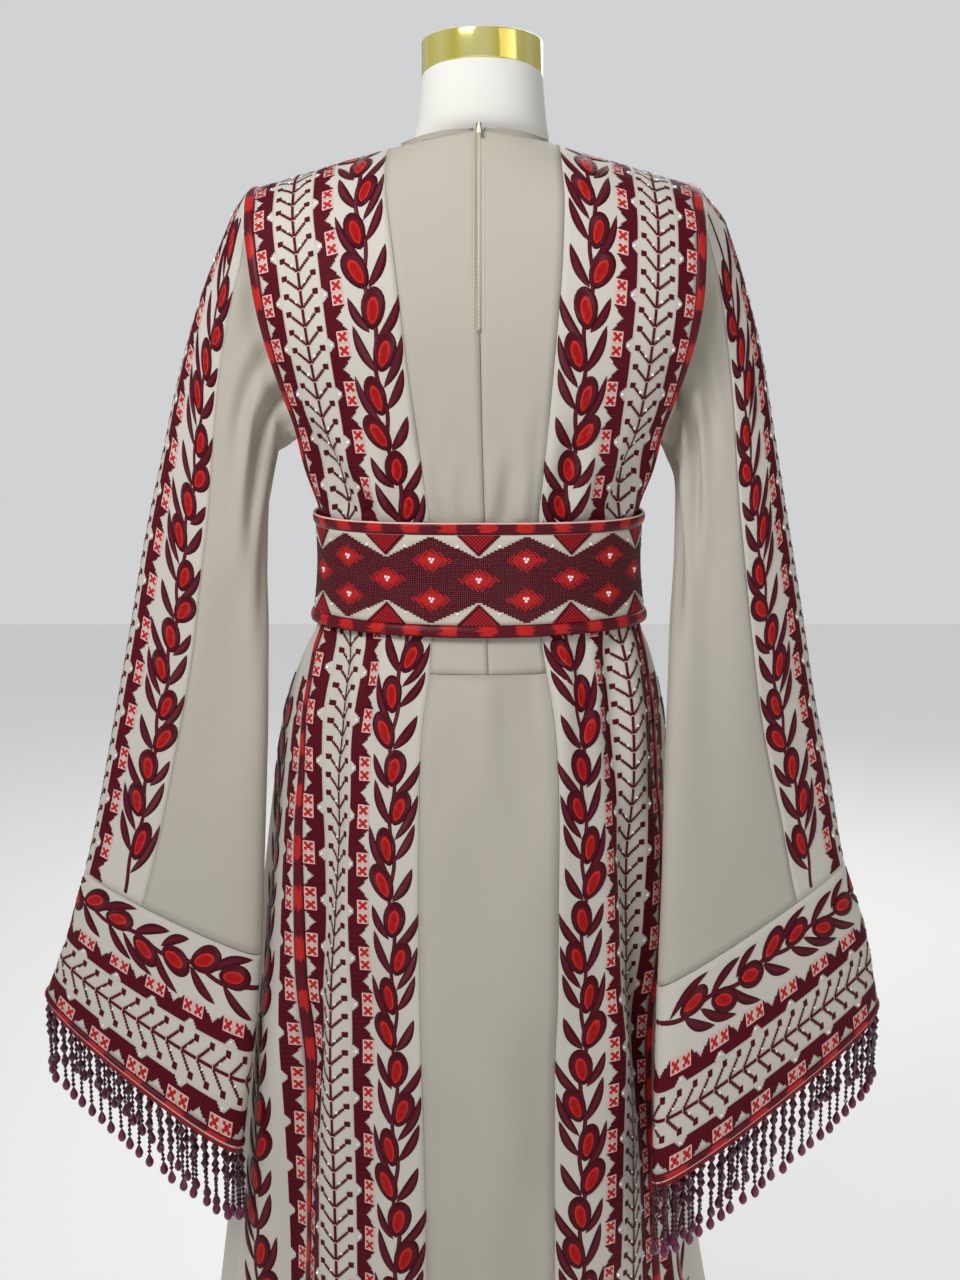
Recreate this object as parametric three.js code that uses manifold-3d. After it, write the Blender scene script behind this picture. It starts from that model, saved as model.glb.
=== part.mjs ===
// Embroidered thobe on a limbless dress form. Millimetres, +Z up.
// The centre-back zip faces -Y, the wearer's right hand is at +X, and the floor is z = 0.
import * as THREE from 'three';
import { mergeVertices } from 'three/addons/utils/BufferGeometryUtils.js';
import Module from 'manifold-3d';

const wasm = await Module();
wasm.setup();

// ---------------------------------------------------------------- driving sizes
const wall = 2;                 // cloth with its embroidery, one wall
const seamGap = 0.3;            // between neighbouring pieces
const bandWidth = 118;          // olive strip and cross stitch
const pipingWidth = 10;
const pipingProud = 1.6;
const neckHalf = 74;            // half the width of the neck opening
const shoulderSlope = 0.29;     // drop per mm outwards
const neckRise = 24;            // how far the centre stands above the shoulder line
const squareness = 2;           // how flat the back and chest are under the shoulders, 0 for an ellipse
const neckRound = 1.35;         // power of that rise, 1 for a straight line and 2 for an arch
const backNeckRows = 1.2;       // rows that the back neckline dips from the ridge
const frontNeckRows = 2.6;
const armpitRow = 13;
const bandTopRow = 20;
const waistSeamRow = 8;         // centre panels
const sideSeamRow = 9.5;        // side panels, under the belt
const beltRows = [9, 11];
const beltSeams = [9.24, 10.76];   // where the belt's piping meets its band
const sleeveBandHalf = 82;
const flatness = 0.7;           // power of the sleeve's section, 1 for an ellipse
const cuffTopRow = 9;
const pipingRow = 10.86;
const hemRow = 11;
const strandPitch = 12.4;
const strandLength = 72;

// Rings of the body from the hem up: height, half widths left and right, depth to the back and
// front, half width of the centre panel, its shift to +X at the back, and the fold depth. At the
// shoulders the front is shifted with the back.
const bodyRings = [
  { h: 28, left: 288, right: 286, back: 236, front: 240, seam: 58, shift: 11, fold: 13 },
  { h: 200, left: 268, right: 252, back: 216, front: 222, seam: 57, shift: 11, fold: 11 },
  { h: 376, left: 248, right: 216, back: 198, front: 203, seam: 56, shift: 11, fold: 8 },
  { h: 530, left: 230, right: 194, back: 184, front: 188, seam: 58, shift: 11, fold: 6 },
  { h: 690, left: 213, right: 182, back: 168, front: 172, seam: 60, shift: 10, fold: 4 },
  { h: 800, left: 200, right: 178, back: 155, front: 160, seam: 61, shift: 9, fold: 3 },
  { h: 900, left: 188, right: 174, back: 142, front: 147, seam: 60, shift: 9, fold: 2 },
  { h: 963, left: 177, right: 168, back: 130, front: 136, seam: 57, shift: 8, fold: 1.5 },
  { h: 1010, left: 160, right: 157, back: 115, front: 120, seam: 51, shift: 8, fold: 1 },
  { h: 1040, left: 147, right: 147, back: 105, front: 109, seam: 48, shift: 7, fold: 0 },
  { h: 1090, left: 141, right: 141, back: 101, front: 105, seam: 47, shift: 6, fold: 0 },
  { h: 1141, left: 143, right: 143, back: 102, front: 107, seam: 47, shift: 5, fold: 0 },
  { h: 1170, left: 150, right: 150, back: 106, front: 112, seam: 50, shift: 4, fold: 0 },
  { h: 1205, left: 162, right: 162, back: 110, front: 118, seam: 54, shift: 3, fold: 0 },
  { h: 1250, left: 180, right: 181, back: 115, front: 127, seam: 59, shift: 2, fold: 0 },
  { h: 1300, left: 198, right: 200, back: 118, front: 130, seam: 64, shift: 1, fold: 0 },
  { h: 1350, left: 213, right: 214, back: 112, front: 122, seam: 69, shift: 0, fold: 0 },
  { h: 1395, left: 223, right: 221, back: 99, front: 104, seam: 73, shift: -2, fold: 0 },
  { h: 1428, left: 229, right: 225, back: 79, front: 80, seam: 76, shift: -4, fold: 0 },
  { h: 1450, left: 230, right: 225, back: 49, front: 49, seam: 78, shift: -5, fold: 0 },
  { h: 1460, left: 230, right: 225, back: 0.2, front: 0.2, seam: 79, shift: -5, fold: 0 },
];

// Sections of each sleeve, armhole side first: the outer and inner edge of the flattened tube,
// its half thickness to the back and front, and how far the front side hangs lower.
const sleeveSections = {
  left: [
    { ox: 215, oy: 0, oz: 1404, ix: 171, iy: 0, iz: 1200, back: 64, front: 62, drop: 0 },
    { ox: 246, oy: -4, oz: 1331, ix: 185, iy: -8, iz: 1188, back: 46, front: 44, drop: 0 },
    { ox: 268, oy: -8, oz: 1259, ix: 189, iy: -20, iz: 1146, back: 36, front: 34, drop: 0 },
    { ox: 284, oy: -12, oz: 1191, ix: 190, iy: -32, iz: 1098, back: 30, front: 28, drop: 0 },
    { ox: 301, oy: -15, oz: 1119, ix: 190, iy: -42, iz: 1045, back: 27, front: 25, drop: 0 },
    { ox: 317, oy: -18, oz: 1036, ix: 191, iy: -50, iz: 983, back: 25, front: 24, drop: 2 },
    { ox: 335, oy: -20, oz: 948, ix: 192, iy: -58, iz: 915, back: 25, front: 24, drop: 6 },
    { ox: 352, oy: -22, oz: 865, ix: 194, iy: -66, iz: 838, back: 26, front: 25, drop: 12 },
    { ox: 366, oy: -25, oz: 808, ix: 198, iy: -75, iz: 744, back: 28, front: 26, drop: 20 },
    { ox: 385, oy: -25, oz: 745, ix: 205, iy: -92, iz: 659, back: 32, front: 28, drop: 30 },
    { ox: 407, oy: -25, oz: 687, ix: 215, iy: -108, iz: 573, back: 36, front: 30, drop: 42 },
  ],
  right: [
    { ox: 215, oy: 0, oz: 1399, ix: 170, iy: 0, iz: 1190, back: 64, front: 62, drop: 0 },
    { ox: 233, oy: -4, oz: 1349, ix: 178, iy: -10, iz: 1170, back: 46, front: 44, drop: 0 },
    { ox: 251, oy: -8, oz: 1284, ix: 177, iy: -28, iz: 1134, back: 36, front: 34, drop: 0 },
    { ox: 264, oy: -12, oz: 1213, ix: 174, iy: -48, iz: 1082, back: 30, front: 28, drop: 0 },
    { ox: 276, oy: -15, oz: 1146, ix: 170, iy: -68, iz: 1027, back: 27, front: 25, drop: 0 },
    { ox: 291, oy: -18, oz: 1064, ix: 167, iy: -85, iz: 972, back: 25, front: 24, drop: 2 },
    { ox: 308, oy: -20, oz: 967, ix: 164, iy: -100, iz: 903, back: 25, front: 24, drop: 6 },
    { ox: 324, oy: -22, oz: 892, ix: 161, iy: -115, iz: 826, back: 26, front: 25, drop: 12 },
    { ox: 339, oy: -25, oz: 816, ix: 157, iy: -130, iz: 735, back: 28, front: 26, drop: 20 },
    { ox: 361, oy: -25, oz: 752, ix: 154, iy: -150, iz: 654, back: 32, front: 28, drop: 30 },
    { ox: 376, oy: -25, oz: 675, ix: 152, iy: -165, iz: 568, back: 36, front: 30, drop: 42 },
  ],
};

// The dress form: rings from the hip to the top of the neck.
const formRings = [
  { z: 862, x: 130, back: 84, front: 90 },
  { z: 866, x: 146, back: 96, front: 102 },
  { z: 900, x: 154, back: 101, front: 107 },
  { z: 963, x: 153, back: 103, front: 109 },
  { z: 1010, x: 143, back: 96, front: 101 },
  { z: 1060, x: 130, back: 88, front: 93 },
  { z: 1120, x: 129, back: 89, front: 94 },
  { z: 1205, x: 145, back: 99, front: 106 },
  { z: 1290, x: 166, back: 105, front: 117 },
  { z: 1350, x: 175, back: 103, front: 111 },
  { z: 1395, x: 178, back: 88, front: 92 },
  { z: 1415, x: 175, back: 66, front: 66 },
  { z: 1429.2, x: 169, back: 36, front: 34 },
  { z: 1442.5, x: 121, back: 36, front: 34 },
  { z: 1452.8, x: 77.2, back: 38, front: 36 },
  { z: 1456, x: 62, back: 42, front: 48 },
  { z: 1468, x: 59, back: 46, front: 56 },
  { z: 1484, x: 56, back: 52, front: 58 },
  { z: 1515.9, x: 53, back: 53, front: 53 },
];
const neckForward = 4;
const neckShift = 3;            // the neck stands a little to +X
const neckTilt = 0.24;          // slope of the cap's underside, falling to the front
const capTilt = 0.12;           // slope of its top
const capRadius = 53;
const capBase = 1516.2;
const capTop = 1548;
const poleRadius = 16;
const footRadius = 165;
const footHeight = 14;

// ---------------------------------------------------------------- colours
const colours = {
  crepe: 0xcfc7b6, band: 0xd8d2c6, piping: 0x7a1020, belt: 0x5c1826, lining: 0x9a1018,
  bead: 0x461a2e, coil: 0xd6ccb4, metal: 0xc9b887, linen: 0xf0ede6, gold: 0xd7c85a, steel: 0xb9b9b9,
};

// ---------------------------------------------------------------- small vector helpers
const vec = (x, y, z) => new THREE.Vector3(x, y, z);
const along = (p, n, d) => p.clone().addScaledVector(n, d);
const mix = (a, b, t) => a.clone().lerp(b, t);
const smooth = (lo, hi, x) => THREE.MathUtils.smoothstep(x, lo, hi);
const signedPower = (v, e) => Math.sign(v) * Math.abs(v) ** e;

// A smooth value of one column of a table at row k.
function column(rows, name, k) {
  const i = Math.min(Math.max(Math.floor(k), 0), rows.length - 2);
  const t = k - i;
  const v = (j) => rows[Math.min(Math.max(j, 0), rows.length - 1)][name];
  const m0 = (v(i + 1) - v(i - 1)) / 2;
  const m1 = (v(i + 2) - v(i)) / 2;
  const a = 2 * t ** 3 - 3 * t ** 2 + 1;
  const b = t ** 3 - 2 * t ** 2 + t;
  const c = -2 * t ** 3 + 3 * t ** 2;
  const d = t ** 3 - t ** 2;
  return a * v(i) + b * m0 + c * v(i + 1) + d * m1;
}

// A polyline with its running length, read at a distance from its start.
function measured(points) {
  const runs = [0];
  for (let i = 1; i < points.length; i += 1) {
    runs.push(runs[i - 1] + points[i].p.distanceTo(points[i - 1].p));
  }
  return { points, runs, length: runs[runs.length - 1] };
}

function readLine(line, distance) {
  const last = line.points.length - 1;
  let i = 1;
  while (i < last && line.runs[i] < distance) i += 1;
  const t = (distance - line.runs[i - 1]) / (line.runs[i] - line.runs[i - 1]);
  const a = line.points[i - 1];
  const b = line.points[i];
  const p = mix(a.p, b.p, t);
  return a.n ? { p, n: mix(a.n, b.n, Math.min(Math.max(t, 0), 1)).normalize() } : { p };
}

// ---------------------------------------------------------------- the body surface
const halfSteps = 120;
const ringCache = new Map();

// Half a ring from the centre back round to the centre front, on the side given by sign.
function halfRing(k, sign) {
  const key = `${k.toFixed(5)}_${sign}`;
  if (ringCache.has(key)) return ringCache.get(key);
  const h = column(bodyRings, 'h', k);
  const wide = column(bodyRings, sign > 0 ? 'right' : 'left', k);
  const back = column(bodyRings, 'back', k);
  const front = column(bodyRings, 'front', k);
  const fold = Math.max(column(bodyRings, 'fold', k), 0);
  const power = 2 / (2 + squareness * smooth(1060, 1395, h));
  const slope = smooth(1205, 1428, h) * shoulderSlope;
  const rise = smooth(1395, 1455, h) * neckRise;
  const points = [];
  for (let i = 0; i <= halfSteps; i += 1) {
    const turn = (Math.PI * i) / halfSteps;
    const swell = 1 + (fold * Math.sin(turn) ** 2 * Math.cos(12 * turn + 0.5 * sign)) / wide;
    const x = wide * Math.abs(Math.sin(turn)) ** power * swell;
    const depth = Math.cos(turn) > 0 ? back : front;
    const y = -depth * signedPower(Math.cos(turn), power) * swell;
    const lift = rise * Math.max(0, 1 - (x / neckHalf) ** neckRound);
    points.push({ p: vec(sign * x, y, h - slope * Math.max(0, x - neckHalf) + lift) });
  }
  const line = measured(points);
  ringCache.set(key, line);
  return line;
}

// A point of the body at row k and arc s: s runs from the centre back, negative to -X.
function bodyPoint(k, s) {
  const sign = s < 0 ? -1 : 1;
  return readLine(halfRing(k, sign), Math.abs(s)).p;
}

function bodyFrame(k, s) {
  const p = bodyPoint(k, s);
  if (k > bandTopRow - 0.01) {
    const lean = Math.abs(p.x) > neckHalf - 1 ? Math.sign(p.x) * shoulderSlope : 0;
    return { p, n: vec(lean, 0, 1).normalize() };
  }
  const ds = bodyPoint(k, s + 1.5).sub(bodyPoint(k, s - 1.5));
  const dk = bodyPoint(Math.min(k + 0.03, bandTopRow), s).sub(bodyPoint(k - 0.03, s));
  return { p, n: ds.cross(dk).normalize() };
}

// Half width of the centre front panel on the side given by sign.
function frontReach(k, sign) {
  return column(bodyRings, 'seam', k) + Math.min(column(bodyRings, 'shift', k), 0) * sign;
}

// Arc positions of the seams at row k. The back and the front are named by face, and sign is
// the side. Each gives arc s.
function seamLines(k, sign) {
  const half = halfRing(k, sign).length;
  const seam = column(bodyRings, 'seam', k);
  const shift = column(bodyRings, 'shift', k) * sign;
  const backSeam = seam + shift;
  const backOuter = backSeam + bandWidth;
  const frontSeam = half - frontReach(k, sign);
  const frontOuter = frontSeam - bandWidth;
  return { backSeam, backOuter, frontSeam, frontOuter, half };
}

// ---------------------------------------------------------------- making closed walls
function meshOf(positions, faces) {
  const geometry = new THREE.BufferGeometry();
  geometry.setAttribute('position', new THREE.Float32BufferAttribute(positions, 3));
  geometry.setIndex(faces);
  return geometry;
}

function signedVolume(geometry) {
  const at = geometry.attributes.position;
  const index = geometry.index;
  const [a, b, c] = [vec(0, 0, 0), vec(0, 0, 0), vec(0, 0, 0)];
  let volume = 0;
  for (let i = 0; i < index.count; i += 3) {
    a.fromBufferAttribute(at, index.getX(i));
    b.fromBufferAttribute(at, index.getX(i + 1));
    c.fromBufferAttribute(at, index.getX(i + 2));
    volume += a.dot(b.cross(c));
  }
  return volume;
}

function facingOut(geometry) {
  if (signedVolume(geometry) > 0) return geometry;
  const index = geometry.index.array;
  for (let i = 0; i < index.length; i += 3) {
    [index[i + 1], index[i + 2]] = [index[i + 2], index[i + 1]];
  }
  return geometry;
}

// A wall between two grids of points of the same size. A ring closes on itself in its columns.
function wallSolid(outer, inner, ring = false) {
  const rows = outer.length;
  const cols = outer[0].length;
  const positions = [];
  for (const grid of [outer, inner]) {
    for (const row of grid) {
      for (const p of row) positions.push(p.x, p.y, p.z);
    }
  }
  const at = (side, r, c) => side * rows * cols + r * cols + (c % cols);
  const faces = [];
  const quad = (a, b, c, d) => faces.push(a, b, c, a, c, d);
  const lastCol = ring ? cols : cols - 1;
  for (let r = 0; r < rows - 1; r += 1) {
    for (let c = 0; c < lastCol; c += 1) {
      quad(at(0, r, c), at(0, r, c + 1), at(0, r + 1, c + 1), at(0, r + 1, c));
      quad(at(1, r, c), at(1, r + 1, c), at(1, r + 1, c + 1), at(1, r, c + 1));
    }
  }
  for (let c = 0; c < lastCol; c += 1) {
    quad(at(0, 0, c), at(1, 0, c), at(1, 0, c + 1), at(0, 0, c + 1));
    quad(at(0, rows - 1, c), at(0, rows - 1, c + 1), at(1, rows - 1, c + 1), at(1, rows - 1, c));
  }
  if (!ring) {
    for (let r = 0; r < rows - 1; r += 1) {
      quad(at(0, r, 0), at(0, r + 1, 0), at(1, r + 1, 0), at(1, r, 0));
      quad(at(0, r, cols - 1), at(1, r, cols - 1), at(1, r + 1, cols - 1), at(0, r + 1, cols - 1));
    }
  }
  return facingOut(meshOf(positions, faces));
}

// A wall over frames: frame(r, c) gives a point and its outward normal.
function sheet(rows, cols, frame, { out = () => 0, deep = wall, ring = false } = {}) {
  const outer = [];
  const inner = [];
  rows.forEach((r) => {
    const frames = cols.map((c) => ({ c, ...frame(r, c) }));
    outer.push(frames.map(({ c, p, n }) => along(p, n, out(c))));
    inner.push(frames.map(({ p, n }) => along(p, n, -deep)));
  });
  return wallSolid(outer, inner, ring);
}

const span = (from, to, steps) => Array.from({ length: steps + 1 },
  (_, i) => from + ((to - from) * i) / steps);

// ---------------------------------------------------------------- the scene
const thobe = new THREE.Group();

function add(name, geometry, colour, roughness = 0.8, metalness = 0) {
  const material = new THREE.MeshStandardMaterial({ color: colour, roughness, metalness });
  const mesh = new THREE.Mesh(geometry, material);
  mesh.name = name;
  thobe.add(mesh);
  return mesh;
}

const sides = [
  { side: 'left', sign: -1 },
  { side: 'right', sign: 1 },
];
const halfGap = seamGap / 2;
const rowGap = 0.012;
const skirtRows = [0, 1, 2, 3, 4, 5, 6, 7];
const bodiceRows = [9, 10, 11, 12, 13, 14, 15, 16, 17];
const neckRows = [17.9, 18.6, 19.2, 19.6, 20];

// ---------------------------------------------------------------- centre panels
// f runs across a centre panel from -1 to 1. Rows above row 17 close up to the neckline.
function neckRow(row, f, dip) {
  const plain = 17;
  if (row <= plain) return row;
  const top = bandTopRow - dip * Math.sqrt(Math.max(0, 1 - f * f));
  return plain + ((row - plain) * (top - plain)) / (bandTopRow - plain);
}

function centreBack(row, f) {
  const k = neckRow(row, f, backNeckRows);
  const shift = column(bodyRings, 'shift', k);
  const zip = Math.max(shift, 0);
  const reach = column(bodyRings, 'seam', k) + (shift - zip) * Math.sign(f) - halfGap;
  return bodyFrame(k, zip + f * reach);
}

function centreFront(row, f) {
  const k = neckRow(row, f, frontNeckRows);
  const sign = f < 0 ? -1 : 1;
  const { half } = seamLines(k, sign);
  return bodyFrame(k, sign * (half - Math.abs(f) * (frontReach(k, sign) - halfGap)));
}

const zipHalf = 0.003;            // half the gap under the zip, as a share of the panel
add('skirt_back_centre', sheet([...skirtRows, waistSeamRow - rowGap], span(-1, 1, 4), centreBack),
  colours.crepe);
for (const { side, sign } of sides) {
  const cols = [zipHalf, 0.5, 0.87, 1].map((f) => f * sign);
  const rows = [waistSeamRow, ...bodiceRows, ...neckRows];
  add(`back_bodice_${side}`, sheet(rows, cols, centreBack), colours.crepe);
}
const fullRows = [...skirtRows, waistSeamRow, ...bodiceRows, ...neckRows];
add('front_centre', sheet(fullRows, [-1, -0.87, -0.5, 0, 0.5, 0.87, 1], centreFront), colours.crepe);

// ---------------------------------------------------------------- embroidered bands
for (const { side, sign } of sides) {
  const across = span(halfGap, bandWidth - halfGap, 5);
  const backBand = (k, u) => bodyFrame(k, sign * (seamLines(k, sign).backSeam + u));
  const frontBand = (k, u) => bodyFrame(k, sign * (seamLines(k, sign).frontSeam - u));
  add(`back_band_${side}`, sheet(fullRows, across, backBand), colours.band);
  add(`front_band_${side}`, sheet(fullRows, across, frontBand), colours.band);

  // The piping is one strip up the back, over the shoulder and down the front.
  const ridged = (u) => (Math.abs(u - pipingWidth / 2) < 1 ? pipingProud : pipingProud / 3);
  const acrossPiping = [halfGap, pipingWidth / 2, pipingWidth - halfGap];
  const backPiping = (k, u) => bodyFrame(k, sign * (seamLines(k, sign).backOuter + u));
  const frontPiping = (k, u) => bodyFrame(k, sign * (seamLines(k, sign).frontOuter - u));
  const overShoulder = [
    ...fullRows.map((k) => ({ k, pick: backPiping })),
    ...fullRows.slice(0, -1).reverse().map((k) => ({ k, pick: frontPiping })),
  ];
  const pipingStrip = sheet(overShoulder, acrossPiping, ({ k, pick }, u) => pick(k, u), { out: ridged });
  add(`piping_${side}`, pipingStrip, colours.piping, 0.4);

  // Side panels between the two runs of piping.
  const sidePanel = (k, f) => {
    const lines = seamLines(k, sign);
    const from = lines.backOuter + pipingWidth + halfGap;
    const to = lines.frontOuter - pipingWidth - halfGap;
    return bodyFrame(k, sign * (from + (to - from) * f));
  };
  add(`skirt_side_${side}`, sheet([...skirtRows, waistSeamRow, 9, sideSeamRow - rowGap], span(0, 1, 16),
    sidePanel), colours.band);
  add(`side_bodice_${side}`, sheet([sideSeamRow, 10, 11, 12, armpitRow], span(0, 1, 4), sidePanel),
    colours.crepe);
}

// ---------------------------------------------------------------- sleeves
const loopSteps = 48;

// The armhole edge from the shoulder ridge down to the armpit on one face, with body normals.
function armholeLine(sign, face) {
  const clear = 0.8;
  const points = [];
  const edge = (k) => {
    const lines = seamLines(k, sign);
    const reach = pipingWidth + clear;
    return face === 'back' ? lines.backOuter + reach : lines.frontOuter - reach;
  };
  for (const k of [20, 19.6, 19.2, 18.6, 17.9, 17, 16.5, 16, 15.5, 15, 14.5, 14, 13.5, 13.03]) {
    points.push(bodyFrame(k, sign * edge(k)));
  }
  const top = armpitRow + 0.03;
  const lines = seamLines(top, sign);
  const middle = (lines.backOuter + lines.frontOuter) / 2;
  for (const t of [0.34, 0.67, 1]) {
    points.push(bodyFrame(top, sign * (edge(top) + (middle - edge(top)) * t)));
  }
  return measured(points);
}

const sleeveCache = new Map();

// Half a sleeve loop at row r, from the outer edge to the inner edge on one face. The empty tube
// hangs flat, with a soft fold at each edge.
function sleeveLine(side, r, face) {
  const key = `${side}_${r.toFixed(4)}_${face}`;
  if (sleeveCache.has(key)) return sleeveCache.get(key);
  const sign = side === 'left' ? -1 : 1;
  let line;
  if (r <= 0) {
    line = armholeLine(sign, face);
  } else {
    const rows = sleeveSections[side];
    const read = (name) => column(rows, name, r - 1);
    const outer = vec(sign * read('ox'), read('oy'), read('oz'));
    const inner = vec(sign * read('ix'), read('iy'), read('iz'));
    const thick = face === 'back' ? -read('back') : read('front');
    const points = [];
    for (let i = 0; i <= loopSteps; i += 1) {
      const turn = (Math.PI * i) / loopSteps;
      const p = mix(outer, inner, (1 - signedPower(Math.cos(turn), 0.95)) / 2);
      p.y += thick * Math.sin(turn) ** flatness;
      if (face === 'front') p.z -= read('drop') * Math.sin(turn) * (1 - Math.cos(turn)) * 0.5;
      points.push({ p });
    }
    line = measured(points);
  }
  sleeveCache.set(key, line);
  return line;
}

// Between the armhole and the first section the two loops are mixed.
function sleevePoint(side, r, face, read) {
  if (r > 0 && r < 1) {
    const a = readLine(sleeveLine(side, 0, face), read(sleeveLine(side, 0, face).length)).p;
    const b = readLine(sleeveLine(side, 1, face), read(sleeveLine(side, 1, face).length)).p;
    return mix(a, b, r);
  }
  const line = sleeveLine(side, r, face);
  return readLine(line, read(line.length)).p;
}

// The frame at row r and distance u from the outer edge, u > 0 on the back.
function sleeveFrame(side, r, face, read) {
  const line = sleeveLine(side, 0, face);
  if (r <= 0) return readLine(line, read(line.length));
  const p = sleevePoint(side, r, face, read);
  const step = 1.5;
  const ahead = sleevePoint(side, r, face, (length) => read(length) + step);
  const behind = sleevePoint(side, r, face, (length) => read(length) - step);
  const down = sleevePoint(side, r + 0.04, face, read);
  const up = sleevePoint(side, Math.max(r - 0.04, 0.001), face, read);
  const n = ahead.sub(behind).cross(down.sub(up)).normalize();
  const outerEdge = sleevePoint(side, r, face, () => 0);
  const innerEdge = sleevePoint(side, r, face, (length) => length);
  const centre = mix(outerEdge, innerEdge, 0.5);
  if (n.dot(p.clone().sub(centre)) < 0) n.negate();
  return { p, n };
}

const sleeveRows = [0, 0.5, 1, 2, 3, 4, 5, 6, 7, 8, cuffTopRow - 0.006];

// Reads a loop by mm from the outer edge, or by a share of the plain panel's width.
const byDistance = (u) => () => Math.abs(u);
const panelStart = sleeveBandHalf + seamGap;
const underarmGap = 0.2;
const byShare = (f) => (length) => panelStart + (length - panelStart - underarmGap) * f;
const ringShare = (f) => (length) => length * f;

// A whole loop as columns: t from 0 to 1 runs out over the back and home over the front.
function ringFrame(side, r, t) {
  const face = t <= 0.5 ? 'back' : 'front';
  const share = t <= 0.5 ? t * 2 : 2 - t * 2;
  return sleeveFrame(side, r, face, ringShare(Math.min(Math.max(share, 0.004), 0.996)));
}
const ringCols = span(0, 1, 28).slice(0, -1);
const bandCols = [-1, -0.72, -0.44, -0.24, -0.08, 0.08, 0.24, 0.44, 0.72, 1]
  .map((f) => f * sleeveBandHalf);

function strandSolid(top, radius, bead, length) {
  const levels = [
    { z: 0, r: radius },
    { z: -(length - 13), r: radius },
    { z: -(length - 4), r: bead },
    { z: -length, r: 0.6 },
  ];
  const positions = [];
  const faces = [];
  for (const { z, r } of levels) {
    for (let i = 0; i < 3; i += 1) {
      const a = (Math.PI * 2 * i) / 3;
      positions.push(top.x + r * Math.cos(a), top.y + r * Math.sin(a), top.z + z);
    }
  }
  for (let level = 0; level < levels.length - 1; level += 1) {
    for (let i = 0; i < 3; i += 1) {
      const a = level * 3 + i;
      const b = level * 3 + ((i + 1) % 3);
      faces.push(a, b, b + 3, a, b + 3, a + 3);
    }
  }
  const last = (levels.length - 1) * 3;
  faces.push(0, 2, 1, last, last + 1, last + 2);
  return facingOut(meshOf(positions, faces));
}

function toManifold(geometry) {
  const merged = mergeVertices(geometry, 1e-4);
  return new wasm.Manifold(new wasm.Mesh({
    numProp: 3,
    vertProperties: new Float32Array(merged.attributes.position.array),
    triVerts: new Uint32Array(merged.index.array),
  }));
}

function fromManifold(solid) {
  const mesh = solid.getMesh();
  return meshOf(Array.from(mesh.vertProperties), Array.from(mesh.triVerts));
}

for (const { side } of sides) {
  add(`sleeve_band_${side}`, sheet(sleeveRows, bandCols,
    (r, u) => sleeveFrame(side, r, u > 0 ? 'back' : 'front', byDistance(u))), colours.band);
  for (const face of ['back', 'front']) {
    add(`sleeve_${face}_${side}`, sheet(sleeveRows, span(0, 1, 6),
      (r, f) => sleeveFrame(side, r, face, byShare(f))), colours.crepe);
  }
  const cuffRows = [cuffTopRow + 0.001, 9.6, 10.25, pipingRow - 0.002];
  add(`cuff_band_${side}`, sheet(cuffRows, ringCols, (r, t) => ringFrame(side, r, t), { ring: true }),
    colours.band);
  add(`cuff_piping_${side}`, sheet([pipingRow + 0.004, (pipingRow + hemRow) / 2, hemRow], ringCols,
    (r, t) => ringFrame(side, r, t), { out: () => pipingProud, ring: true }), colours.piping, 0.4);
  const liningOut = -(wall + seamGap);
  add(`cuff_lining_${side}`, sheet([9.6, 10.25, 10.858, 10.97], ringCols,
    (r, t) => ringFrame(side, r, t), { out: () => liningOut, deep: wall + seamGap + 1.2, ring: true }),
    colours.lining);

  // The fringe hangs from a tape just under the hem.
  const tapeTop = 1.3;
  const tapeDepth = 5;
  const tapeRing = (drop, inset) => ringCols.map((t) => {
    const { p, n } = ringFrame(side, hemRow, t);
    const flat = vec(n.x, n.y, 0).normalize();
    return along(p, flat, -inset).add(vec(0, 0, -drop));
  });
  const tape = wallSolid([tapeRing(tapeTop, 0), tapeRing(tapeDepth, 0)],
    [tapeRing(tapeTop, 1.6), tapeRing(tapeDepth, 1.6)], true);
  let fringe = toManifold(tape);
  const roots = tapeRing(2.2, 0.8);
  const rootLine = measured([...roots, roots[0]].map((p) => ({ p })));
  const count = Math.round(rootLine.length / strandPitch);
  for (let i = 0; i < count; i += 1) {
    const top = readLine(rootLine, ((i + 0.5) * rootLine.length) / count).p;
    fringe = fringe.add(toManifold(strandSolid(top, 1.5, 3.6, strandLength)));
  }
  add(`fringe_${side}`, fromManifold(fringe), colours.bead, 0.3);
}

// ---------------------------------------------------------------- belt
const beltClear = 3.5;
const beltThick = 3;
const beltCols = [...span(0, 1, 16).slice(0, -1).map((f) => ({ sign: 1, f })),
  ...span(1, 0, 16).slice(0, -1).map((f) => ({ sign: -1, f }))];
const beltFrame = (k, { sign, f }) => bodyFrame(k, sign * Math.max(halfRing(k, sign).length * f, 0.01));
function beltRing(rows, proud) {
  return sheet(rows, beltCols, beltFrame, { out: () => proud, deep: -beltClear, ring: true });
}
const beltBandRows = [beltSeams[0] + rowGap, 10, beltSeams[1] - rowGap];
add('belt_band', beltRing(beltBandRows, beltClear + beltThick), colours.belt);
const cordOut = beltClear + beltThick + 1;
add('belt_piping_bottom', beltRing([beltRows[0], beltSeams[0]], cordOut), colours.piping, 0.4);
add('belt_piping_top', beltRing([beltSeams[1], beltRows[1]], cordOut), colours.piping, 0.4);

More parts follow.
